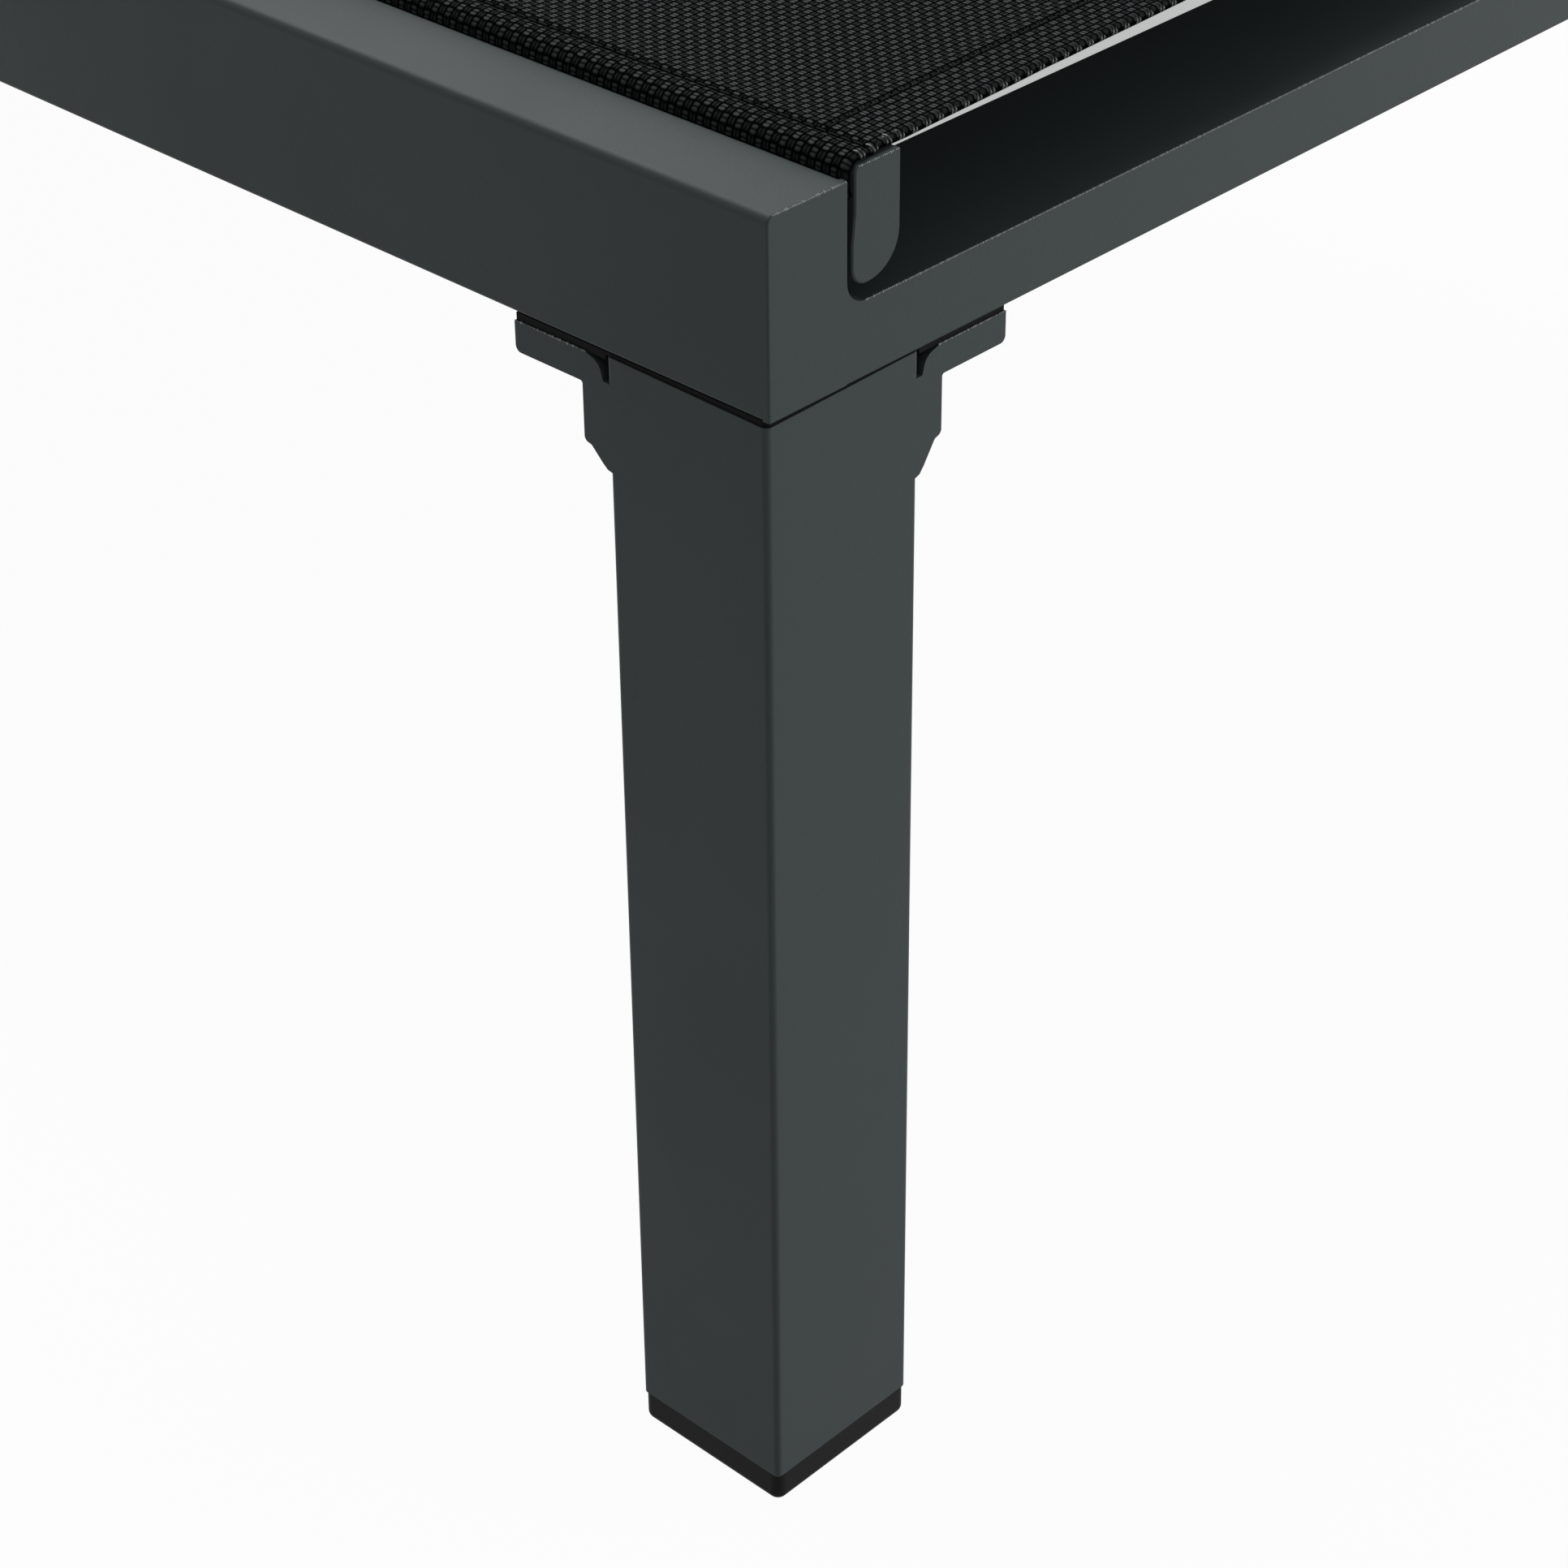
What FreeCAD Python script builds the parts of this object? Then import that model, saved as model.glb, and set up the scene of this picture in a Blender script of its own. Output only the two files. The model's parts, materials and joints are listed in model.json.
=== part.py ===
"""Reclining sun lounger: a low powder-coated aluminium frame on four bolted legs, a fixed seat sling, and a
backrest sling that tips up about two hinge bolts and is propped by a swinging stay on two notched racks.

Axes: +X is the sitter's left, -Y the foot end, +Y the head end, +Z up.
The origin is on the floor under the middle.
All sizes are in millimetres, and the backrest lies flat. Most pieces are drawn for the -X side or the
foot end's -X corner and mirrored, because the lounger is symmetric about X = 0.
"""
import FreeCAD
import Part
import math
import os

V = FreeCAD.Vector

# ---- Overall -------------------------------------------------------------------------------------
overall_length = 1950.0
overall_width = 640.0  # over the outer faces of the side rails
backrest_length = 745.0  # from the hinge axis to the head end
max_recline_deg = 70.0

# ---- Side rails and cross rails ------------------------------------------------------------------
rail_width = 20.5
rail_height = 40.4
rail_wall = 1.6
rail_outer_radius = 1.8  # the soft long edge along the top, outside
rail_edge_radius = 0.8
end_plate_thickness = 1.6
end_plate_edge_radius = 0.45  # ground along its top and outside
cross_depth = 41.5
cross_height = 15.5
cross_wall = 1.5
cross_edge_radius = 0.4
corner_weld_radius = 5.0  # ground fillet between a side rail and the top of a cross rail
seat_cross_rail_from_foot = 643.5  # from the foot end to the middle cross rail
hinge_cross_rail_gap = 24.0  # from the hinge axis to the edge of the cross rail before it

# ---- Legs ----------------------------------------------------------------------------------------
leg_size = 41.2
leg_wall = 1.8
leg_radius = 1.3
leg_length = 256.25
leg_side_inset = 0.0  # how far the leg's outer face stands in from the side rail's
leg_end_inset = 0.75  # how far its end face stands in from the end rail's
leg_to_frame_gap = 0.85
leg_corner_fall = 0.6  # the top is cut this much lower at its outermost corner
bracket_thickness = 6.5
bracket_ear = 24.6  # from the leg's face to the ear's tip
bracket_drop = 19.0  # from the ear's top to the bracket's toe
bracket_width = 20.0
bracket_notch_depth = 4.7  # of the notch between the leg and the bracket's heel
bracket_notch_width = 0.9  # at its floor
bracket_heel_step = 1.9  # from the leg's face to the knee of the heel
bracket_heel_drop = 1.2  # of that knee below the ear's top
bracket_heel_reach = 5.7  # from the leg's face to where the ear's top runs level
bracket_heel_radius = 3.0
bracket_tip_radius = 1.4
bracket_inner_radius = 0.6
bracket_toe_radius = 1.2
end_weld_length = 7.1  # of the weld that runs out below the end rail's bracket
side_weld_length = 4.6  # and below the side rail's
foot_height = 7.7
foot_edge_radius = 2.0
foot_corner_radius = 2.4
foot_plug_length = 16.0
foot_plug_wall = 2.0
foot_floor = 5.5  # solid plastic under the plug's bore
plug_clearance = 0.25
top_plug_gap = 0.1  # between its flange and the frame
top_plug_inset = 0.3  # of its flange from the leg's faces and of its pads from an ear's edges
top_plug_length = 12.0
top_plug_roof = 1.0

# ---- Sling rails: the extruded bars that hold the cloth's edges ----------------------------------
sling_rail_width = 12.8  # widest, at its foot
sling_rail_gap = 1.4  # running gap between a side rail and the sling rail beside it
sling_rail_relief = 0.7  # the outer face stands back this much above the gap, for the cloth
sling_rail_proud = 1.8  # how far it stands above the side rail
sling_rail_wall = 1.5
sling_rail_belly_radius = 8.5
sling_rail_toe_radius = 4.0
sling_rail_shoulder_radius = 1.2
sling_rail_brow_radius = 0.4
sling_rail_step_drop = 3.0  # the relief starts this far below mid height
sling_rail_step_height = 6.0  # and takes this much height to reach its depth
sling_rail_rest_gap = 3.2  # between its underside and the top of a cross rail
sling_cap_thickness = 2.0
sling_cap_chamfer = 0.3
groove_radius = 3.3
groove_depth_below_top = 5.6
groove_mouth = 2.4
spreader_depth = 20.0
spreader_height = 12.0
spreader_wall = 1.4
spreader_radius = 2.5
spreader_rise = 1.0  # its underside above the sling rails'
spreader_bow = 12.0  # how far the middle of a bowed spreader hangs below its ends
foot_spreader_from_end = 141.0  # to its middle, as the next four
seat_spreader_from_cross_rail = 50.0
last_spreader_from_hinge_rail = 70.0
lower_spreader_from_end = 44.0
top_spreader_from_end = 24.5
middle_spreader_gap = 20.0  # from a stay bracket
seat_to_hinge_gap = 30.0  # clear of the backrest's corner as it swings
hinge_to_back_gap = 13.0

# ---- Slings --------------------------------------------------------------------------------------
cloth_thickness = 1.3
cloth_clearance = 0.3
cloth_end_inset = 2.4  # the hem stops this far short of the rail's end
hem_bow = 10.0  # how far a free hem curves in at mid width
cord_radius = 1.6
cord_gap = 0.2  # between a cord and the cloth round it
cord_sleeve_wall = 1.1

# ---- Hinge ---------------------------------------------------------------------------------------
hinge_bolt_radius = 4.0
hinge_head_radius = 7.0
hinge_head_height = 3.6
hinge_socket_flats = 5.0
hinge_socket_depth = 2.2
lug_thickness = 6.0
lug_radius = 11.0
lug_length = 60.0  # welded length under the back rail
lug_setback = 0.8  # from the sling rail's outer face
lug_drop = 5.0  # its lower edge below the hinge axis
lug_toe_length = 27.0  # of the level part of that edge
lug_corner_radius = 3.0
lug_seam_gap = 1.0  # clear of the back rail's cap
bush_wall = 1.0
running_clearance = 0.05
hinge_washer_radius = 8.0
hinge_washer_thickness = 1.6
hinge_nut_flats = 13.0
hinge_nut_height = 8.0
hinge_thread_end = 1.5  # of bolt beyond its nut

# ---- Stay and racks ------------------------------------------------------------------------------
stay_pivot_rise = 3.5  # stay pivot above the hinge axis when flat
stay_arm_thickness = 8.0
stay_arm_half_width = 10.0
foot_bar_radius = 4.0
sleeve_radius = 5.0
brace_radius = 6.0
brace_wall = 1.2
brace_from_foot_bar = 107.0  # between the middles of the brace and the foot bar
stay_bracket_thickness = 4.0
stay_bracket_length = 46.0
stay_bracket_from_top = 4.0  # down from the sling rail's top
stay_bracket_heel = 6.0  # its ends reach this far above the sling rail's underside
stay_bracket_radius = 3.0
stay_pin_radius = 4.0
pin_cap_length = 4.6
pin_cap_flange = 3.0  # its edge beyond the pin
pin_cap_roof = 1.5
pin_end_gap = 0.1  # between the pin's end and the cap's roof
side_play = 0.5
foot_bar_end_gap = 1.0  # from its end to a rack rivet's head
sleeve_setback = 0.8  # of the sleeve from the bar's end
sleeve_arm_gap = 0.3
stay_under_gap = 0.8  # between the foot bar's sleeve and the back rail above it
rack_sheet = 2.0
rack_lip_from_rail = 12.5  # outer face of the notched lip from the side rail
rack_run_gap = 0.3
notch_count = 6
notch_pitch = 75.0
notch_depth = 5.0
notch_ramp = 16.0
notch_clearance = 0.4  # round the foot bar's sleeve
rack_end_margin = 21.0  # beyond the foot bar when flat, and before the most upright notch's ramp
rack_end_gap = 12.5  # from a rack's end to the head end rail
rack_floor_gap = 0.2  # under the deepest notch
rack_flange_gap = 1.0  # from its tall flange up to the sling rail's underside
rack_rivet_margin = 20.0
rack_lip_radius = 0.4
rivet_head_radius = 4.0
rivet_head_height = 1.2
rivet_shank_radius = 2.0
rivet_tail = 3.0  # of the shank beyond the side rail's wall
rack_rivet_count = 3

# ---- Fasteners -----------------------------------------------------------------------------------
screw_radius = 3.0
screw_head_radius = 5.25
screw_head_height = 3.3
screw_socket_flats = 4.0
screw_socket_depth = 2.0
screw_hole_clearance = 0.3
nut_flange_radius = 6.2
leg_nut_flange = 1.8  # it sets the gap between a bracket's ear and the frame
nut_barrel_radius = 4.5
nut_barrel_length = 12.0
nut_bore_clearance = 0.1
screw_end_gap = 1.0  # from a seat screw's tip to the end of its nut
head_root = 0.5  # a shank starts this far inside its head
head_crown_share = 0.72  # a round head's crown against its bearing face
cut_margin = 1.0  # how far a cutting shape stands out of what it cuts
seat_screw_count = 4
seat_screw_margin = 75.0

# ---- Bumpers -------------------------------------------------------------------------------------
bumper_radius = 4.5
bumper_stem_radius = 2.5
bumper_stem_length = 6.0
bumper_gap = 0.3

# ---- Worked out ----------------------------------------------------------------------------------
half_length = overall_length / 2
half_width = overall_width / 2
leg_top = foot_height + leg_length
frame_bottom = leg_top + leg_to_frame_gap
frame_top = frame_bottom + rail_height
bracket_top = frame_bottom - leg_nut_flange
leg_x0 = -half_width + leg_side_inset
leg_x1 = leg_x0 + leg_size
leg_y0 = -half_length + leg_end_inset
leg_y1 = leg_y0 + leg_size
rail_inner = -half_width + rail_width  # X of the -X side rail's inner face
cross_top = frame_bottom + cross_height
sling_bottom = cross_top + sling_rail_rest_gap
sling_top = frame_top + sling_rail_proud
sling_outer = rail_inner + sling_rail_gap
sling_inner = sling_outer + sling_rail_width
groove_x = sling_outer + sling_rail_relief + sling_rail_wall + groove_radius
groove_z = sling_top - groove_depth_below_top
hinge_y = half_length - backrest_length
hinge_z = sling_bottom - stay_under_gap - sleeve_radius
seat_cross_y = -half_length + seat_cross_rail_from_foot
hinge_cross_y = hinge_y - hinge_cross_rail_gap - cross_depth
seat_rail_start = -half_length
seat_rail_end = hinge_y - seat_to_hinge_gap
back_rail_start = hinge_y + hinge_to_back_gap
back_rail_end = half_length
spreader_bottom = sling_bottom + spreader_rise
screw_z = (sling_bottom + groove_z - groove_radius - sling_rail_wall) / 2 + sling_rail_wall
lug_x0 = sling_outer + lug_setback
lug_x1 = lug_x0 + lug_thickness
foot_bar_y = half_length - cross_depth - rack_end_gap - rack_end_margin
stay_pivot_y = (hinge_y + foot_bar_y) / 2  # halfway, so that the foot bar runs level
stay_pivot_z = hinge_z + stay_pivot_rise
stay_reach = math.hypot(stay_pivot_y - hinge_y, stay_pivot_rise)  # hinge to pivot, and pivot to foot bar
stay_rest_angle = math.asin(stay_pivot_rise / stay_reach)
rack_lip_top = hinge_z - sleeve_radius - rack_run_gap
rack_floor = rack_lip_top - notch_depth - rack_sheet - rack_floor_gap
last_notch_y = hinge_y + 2 * stay_reach * math.cos(math.radians(max_recline_deg) + stay_rest_angle)
stay_arm_outer = sling_inner + stay_bracket_thickness + side_play


# ---- Helpers -------------------------------------------------------------------------------------
def box(x0, x1, y0, y1, z0, z1):
    """A block between two corners."""
    return Part.makeBox(x1 - x0, y1 - y0, z1 - z0, V(x0, y0, z0))


def rounded_loop(corners, place):
    """A closed wire through (u, v, radius) corners, each with its own arc; place puts (u, v) in space."""
    edges = []
    arcs = []
    count = len(corners)
    for i, (u, v, radius) in enumerate(corners):
        before = corners[i - 1]
        after = corners[(i + 1) % count]
        corner = V(u, v, 0)
        to_before = (V(before[0], before[1], 0) - corner).normalize()
        to_after = (V(after[0], after[1], 0) - corner).normalize()
        if radius <= 0:
            arcs.append((corner, None, corner))
            continue
        half = to_before.getAngle(to_after) / 2
        setback = radius / math.tan(half)
        middle = (to_before + to_after).normalize()
        centre = corner + middle * (radius / math.sin(half))
        arcs.append((corner + to_before * setback, centre - middle * radius, corner + to_after * setback))
    for i, (start, middle, end) in enumerate(arcs):
        if middle is not None:
            edges.append(Part.Arc(place(start), place(middle), place(end)).toShape())
        following = arcs[(i + 1) % count][0]
        if (following - end).Length > 1e-6:
            edges.append(Part.LineSegment(place(end), place(following)).toShape())
    return Part.Wire(edges)


def along_y(corners, y0, y1):
    """A prism along Y with a rounded outline of (x, z, radius) corners."""
    wire = rounded_loop(corners, lambda p: V(p.x, y0, p.y))
    return Part.Face(wire).extrude(V(0, y1 - y0, 0))


def along_x(corners, x0, x1):
    """A prism along X with a rounded outline of (y, z, radius) corners."""
    wire = rounded_loop(corners, lambda p: V(x0, p.x, p.y))
    return Part.Face(wire).extrude(V(x1 - x0, 0, 0))


def along_z(corners, z0, z1):
    """A prism along Z with a rounded outline of (x, y, radius) corners."""
    wire = rounded_loop(corners, lambda p: V(p.x, p.y, z0))
    return Part.Face(wire).extrude(V(0, 0, z1 - z0))


def rectangle(u0, u1, v0, v1, radius):
    """Corners of a rectangle for the prisms above; radius is one number or four, from (u0, v0) round."""
    radii = radius if isinstance(radius, tuple) else (radius,) * 4
    return [(u0, v0, radii[0]), (u1, v0, radii[1]), (u1, v1, radii[2]), (u0, v1, radii[3])]


def cylinder(radius, start, end):
    """A round bar from one point to another."""
    axis = end - start
    return Part.makeCylinder(radius, axis.Length, start, axis)


def hexagon(flats, start, end):
    """A hexagonal bar along X or Z between two points."""
    axis = end - start
    side = V(0, 1, 0) if abs(axis.y) < 1e-9 else V(1, 0, 0)
    other = axis.cross(side).normalize()
    reach = flats / math.sqrt(3)
    points = []
    for i in range(7):
        turn = math.radians(60 * i)
        points.append(start + side * (reach * math.cos(turn)) + other * (reach * math.sin(turn)))
    return Part.Face(Part.makePolygon(points)).extrude(axis)


def mirror_x(shape):
    """The same piece on the other side."""
    return shape.mirror(V(0, 0, 0), V(1, 0, 0))


def mirror_y(shape):
    """The same piece at the other end."""
    return shape.mirror(V(0, 0, 0), V(0, 1, 0))


def spaced(start, end, count):
    """Evenly spaced places from start to end, both included."""
    return [start + (end - start) * i / (count - 1) for i in range(count)]


def group(solids):
    """Several separate solids in one node."""
    return Part.makeCompound(solids)


def both_sides(shape):
    """A pair of separate solids, one on each side."""
    return group([shape, mirror_x(shape)])


def save(name, shape):
    """Writes one node."""
    shape.exportStep(os.path.join("parts", name + ".step"))


# ---- Frame ---------------------------------------------------------------------------------------
def side_rail_radii():
    """Corner radii of the -X side rail from its outer bottom corner: only the outer top edge is soft."""
    return (rail_edge_radius, rail_edge_radius, rail_edge_radius, rail_outer_radius)


def leg_ear_hole_reach():
    """From a leg's far face to the middle of the ear's free length."""
    return bracket_thickness + (bracket_ear - bracket_thickness) / 2


def side_rail():
    """The -X side rail: a rectangular tube drilled for leg nuts, seat nuts and the hinge bolt."""
    y0 = -half_length + end_plate_thickness
    y1 = half_length - end_plate_thickness
    radii = side_rail_radii()
    outer = along_y(rectangle(-half_width, rail_inner, frame_bottom, frame_top, radii), y0, y1)
    wall = rail_wall
    bore = rectangle(-half_width + wall, rail_inner - wall, frame_bottom + wall, frame_top - wall, 0)
    tube = outer.cut(along_y(bore, y0, y1))
    nut_hole = nut_barrel_radius + nut_bore_clearance
    for x, y in side_ear_screws():
        tube = tube.cut(cylinder(nut_hole, V(x, y, frame_bottom - cut_margin),
                                 V(x, y, frame_bottom + wall + cut_margin)))
    inside = rail_inner - wall - cut_margin
    outside = rail_inner + cut_margin
    for y in seat_screw_places():
        tube = tube.cut(cylinder(nut_hole, V(inside, y, screw_z), V(outside, y, screw_z)))
    tube = tube.cut(cylinder(hinge_bolt_radius + running_clearance,
                             V(-half_width - cut_margin, hinge_y, hinge_z), V(outside, hinge_y, hinge_z)))
    for y in rack_rivet_places():
        z = rack_rivet_z()
        tube = tube.cut(cylinder(rivet_shank_radius + running_clearance, V(inside, y, z), V(outside, y, z)))
    return tube


def end_plate():
    """The plate that closes the side rail's foot end, flush with the end rail and ground round outside."""
    y0 = -half_length
    face = rectangle(-half_width, rail_inner, frame_bottom, frame_top, (0.0, 0.0, 0.0, rail_outer_radius))
    plate = along_y(face, y0, y0 + end_plate_thickness)
    front = [e for e in plate.Edges if e.BoundBox.YMax < y0 + 1e-6 and e.BoundBox.XMin < rail_inner - 1e-3]
    rim = [e for e in front if e.BoundBox.ZMax > frame_bottom + 1e-3]
    return plate.makeFillet(end_plate_edge_radius, rim)


def cross_rail(y0):
    """A flat tube between the side rails, from y0 on, with a ground weld fillet at each end of its top."""
    y1 = y0 + cross_depth
    tube = along_x(rectangle(y0, y1, frame_bottom, cross_top, cross_edge_radius), rail_inner, -rail_inner)
    wall = cross_wall
    bore = rectangle(y0 + wall, y1 - wall, frame_bottom + wall, cross_top - wall, 0)
    tube = tube.cut(along_x(bore, rail_inner, -rail_inner))
    weld = corner_weld(y0, y1)
    return tube.fuse([weld, mirror_x(weld)]).removeSplitter()


def corner_weld(y0, y1):
    """The ground fillet in the corner between a side rail's inner face and a cross rail's top."""
    r = corner_weld_radius
    sink = cross_wall / 2
    edge = cross_edge_radius
    corner = V(rail_inner, y0, cross_top)
    arc_middle = V(rail_inner + r * (1 - math.sqrt(0.5)), y0, cross_top + r * (1 - math.sqrt(0.5)))
    loop = [Part.Arc(corner + V(0, 0, r), arc_middle, corner + V(r, 0, 0)).toShape()]
    points = [corner + V(r, 0, 0), corner + V(r, 0, -sink), corner + V(0, 0, -sink), corner + V(0, 0, r)]
    loop += [Part.LineSegment(a, b).toShape() for a, b in zip(points, points[1:])]
    fillet = Part.Face(Part.Wire(loop)).extrude(V(0, y1 - y0, 0))
    nose = along_x(rectangle(y0, y1, frame_bottom, cross_top + 2 * r, edge), rail_inner, rail_inner + r)
    return fillet.common(nose)


def drilled_end_rail():
    """The foot end's cross rail, drilled underneath for its two leg nuts."""
    rail = cross_rail(-half_length)
    hole = nut_barrel_radius + nut_bore_clearance
    for x, y in end_ear_screws():
        for side in (x, -x):
            rail = rail.cut(cylinder(hole, V(side, y, frame_bottom - cut_margin),
                                     V(side, y, frame_bottom + cross_wall + cut_margin)))
    return rail


def side_ear_screws():
    """Where the two leg screws stand under the -X side rail, one at each end."""
    x = leg_x0 + bracket_width / 2
    y = leg_y1 + leg_ear_hole_reach()
    return [(x, y), (x, -y)]


def end_ear_screws():
    """Where the -X leg screw stands under the foot end rail."""
    return [(leg_x1 + leg_ear_hole_reach(), leg_y0 + bracket_width / 2)]


# ---- Legs: each drawn for the foot end's -X corner -----------------------------------------------
def leg_block(z0, z1, grow=0.0, radius=leg_radius):
    """A square bar on the leg's centre line; grow makes it larger or smaller all round."""
    return along_z(rectangle(leg_x0 - grow, leg_x1 + grow, leg_y0 - grow, leg_y1 + grow, radius), z0, z1)


def leg_solid():
    """The leg's outside, its top cut down towards the outermost corner."""
    block = leg_block(foot_height, leg_top)
    corner = leg_size / math.sqrt(2)
    reach = corner + cut_margin
    middle = V((leg_x0 + leg_x1) / 2, (leg_y0 + leg_y1) / 2, leg_top)
    outward = V(-math.sqrt(0.5), -math.sqrt(0.5), 0)
    across = V(math.sqrt(0.5), -math.sqrt(0.5), 0)
    up = V(0, 0, 1)
    start = middle - across * reach
    low = start + outward * reach - up * (leg_corner_fall * reach / corner)
    points = [start, low, start + outward * reach + up * cut_margin, start + up * cut_margin, start]
    return block.cut(Part.Face(Part.makePolygon(points)).extrude(across * (2 * reach)))


def leg_tube():
    """The square tube of a leg."""
    return leg_solid().cut(leg_block(foot_height, leg_top, -leg_wall, 0))


def bracket_outline(weld):
    """The angle bracket seen along its width, as (distance from the leg's face, height, radius) corners."""
    t = bracket_thickness
    heel = bracket_top - bracket_notch_depth
    toe = bracket_top - bracket_drop
    root = -leg_radius
    return [
        (0.0, heel, 0.0),
        (bracket_notch_width, heel, 0.3),
        (bracket_heel_step, bracket_top - bracket_heel_drop, bracket_heel_radius),
        (bracket_heel_reach, bracket_top, bracket_heel_radius),
        (bracket_ear, bracket_top, 0.0),
        (bracket_ear, bracket_top - t, bracket_tip_radius),
        (t, bracket_top - t, bracket_inner_radius),
        (t, toe, bracket_toe_radius),
        (t * 0.72, toe - weld * 0.08, 0.8),
        (t * 0.50, toe - weld * 0.38, 0.8),
        (t * 0.25, toe - weld * 0.72, 0.6),
        (t * 0.07, toe - weld * 0.92, 0.3),
        (root, toe - weld, 0.0),
        (root, heel, 0.0),
    ]


def end_bracket(weld=end_weld_length):
    """The bracket under the end rail: its ear points along X."""
    plate = Part.Face(rounded_loop(bracket_outline(weld), lambda p: V(leg_x1 + p.x, leg_y0, p.y)))
    shape = plate.extrude(V(0, bracket_width, 0)).cut(leg_block(foot_height, leg_top))
    x, y = end_ear_screws()[0]
    hole = screw_radius + screw_hole_clearance
    shape = shape.cut(cylinder(hole, V(x, y, bracket_top - bracket_thickness - cut_margin),
                               V(x, y, bracket_top + cut_margin)))
    return shape.removeSplitter()


def turned(shape):
    """A piece drawn under the end rail, turned to the same place under the side rail."""
    shape.translate(V(-leg_x0, -leg_y0, 0))
    shape = shape.mirror(V(0, 0, 0), V(1, -1, 0))
    shape.translate(V(leg_x0, leg_y0, 0))
    return shape


def side_bracket():
    """The bracket under the side rail: its ear points along Y."""
    return turned(end_bracket(side_weld_length))


def foot_cap():
    """The plastic foot: a block under the leg, flush with it, and a hollow plug inside the tube."""
    block = leg_block(0, foot_height, 0, foot_corner_radius)
    rim = [e for e in block.Edges if e.BoundBox.ZMax < 1e-6]
    block = block.makeFillet(foot_edge_radius, rim)
    shrink = -(leg_wall + plug_clearance)
    plug = leg_block(foot_height, foot_height + foot_plug_length, shrink, 0)
    bore = leg_block(foot_floor, foot_height + foot_plug_length, shrink - foot_plug_wall, 0)
    return block.fuse(plug).cut(bore).removeSplitter()


def ear_pad():
    """The top plug's pad between the end rail and the bracket's ear, round the leg nut's flange."""
    inset = top_plug_inset
    top = frame_bottom - top_plug_gap
    tip = leg_x1 + bracket_ear - inset
    y0 = leg_y0 + inset
    y1 = leg_y0 + bracket_width - inset
    strip = box(leg_x1 - leg_wall, tip, y0, y1, leg_top, top)
    pad = box(leg_x1 + plug_clearance, tip, y0, y1, bracket_top, top)
    x, y = end_ear_screws()[0]
    hole = nut_flange_radius + plug_clearance
    return strip.fuse(pad).cut(cylinder(hole, V(x, y, bracket_top - cut_margin), V(x, y, top + cut_margin)))


def top_plug():
    """The plug that closes the leg's top under the frame, with a pad over each bracket's ear."""
    top = frame_bottom - top_plug_gap
    flange = leg_block(leg_top - leg_corner_fall, top, -top_plug_inset, leg_radius).cut(leg_solid())
    shrink = -(leg_wall + plug_clearance)
    body = leg_block(leg_top - top_plug_length, top, shrink, 0)
    bore = leg_block(leg_top - top_plug_length, leg_top - top_plug_roof, shrink - foot_plug_wall, 0)
    return flange.fuse([body, ear_pad(), turned(ear_pad())]).cut(bore).removeSplitter()


# ---- Fasteners -----------------------------------------------------------------------------------
def button(radius, height, bearing, back):
    """A low round head whose crown is narrower than its bearing face."""
    return Part.makeCone(radius, radius * head_crown_share, height, bearing, back)


def socket_screw(head_start, direction, length):
    """A button-head socket screw: its head bears at head_start and its shank runs along direction."""
    back = head_start - direction * screw_head_height
    head = button(screw_head_radius, screw_head_height, head_start, direction * -1)
    socket = hexagon(screw_socket_flats, back, back + direction * screw_socket_depth)
    shank = cylinder(screw_radius, head_start - direction * head_root, head_start + direction * length)
    return head.fuse(shank).cut(socket).removeSplitter()


def ring(outer_radius, inner_radius, start, end):
    """A washer or short sleeve between two points on its axis."""
    return cylinder(outer_radius, start, end).cut(cylinder(inner_radius, start, end))


def rivet_nut(face, direction, flange):
    """A threaded insert: its flange stands off the tube's face and its barrel runs inside it."""
    start = face - direction * flange
    end = face + direction * nut_barrel_length
    body = cylinder(nut_flange_radius, start, face).fuse(cylinder(nut_barrel_radius, start, end))
    return body.cut(cylinder(screw_radius + nut_bore_clearance, start, end)).removeSplitter()


def leg_screw_places():
    """All eight leg screws, as (x, y)."""
    quarter = [side_ear_screws()[0], end_ear_screws()[0]]
    return [(sx * x, sy * y) for x, y in quarter for sx in (1, -1) for sy in (1, -1)]


def leg_screws():
    """Eight screws up through the bracket ears."""
    under = bracket_top - bracket_thickness
    length = bracket_thickness + nut_barrel_length
    return group([socket_screw(V(x, y, under), V(0, 0, 1), length) for x, y in leg_screw_places()])


def leg_nuts():
    """Eight threaded inserts in the rails' undersides."""
    places = [V(x, y, frame_bottom) for x, y in leg_screw_places()]
    return group([rivet_nut(place, V(0, 0, 1), leg_nut_flange) for place in places])


def seat_screw_places():
    """Where the seat rails are screwed to the side rails, along Y."""
    return spaced(seat_rail_start + seat_screw_margin, seat_rail_end - seat_screw_margin, seat_screw_count)


def seat_screws():
    """Screws through the seat rails from inside."""
    out = V(-1, 0, 0)
    length = sling_rail_width + sling_rail_gap + nut_barrel_length - screw_end_gap
    left = [socket_screw(V(sling_inner, y, screw_z), out, length) for y in seat_screw_places()]
    return group(left + [mirror_x(s) for s in left])


def seat_nuts():
    """Threaded inserts in the side rails' inner faces; their flanges space the seat rails off."""
    left = [rivet_nut(V(rail_inner, y, screw_z), V(-1, 0, 0), sling_rail_gap) for y in seat_screw_places()]
    return group(left + [mirror_x(s) for s in left])


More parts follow.
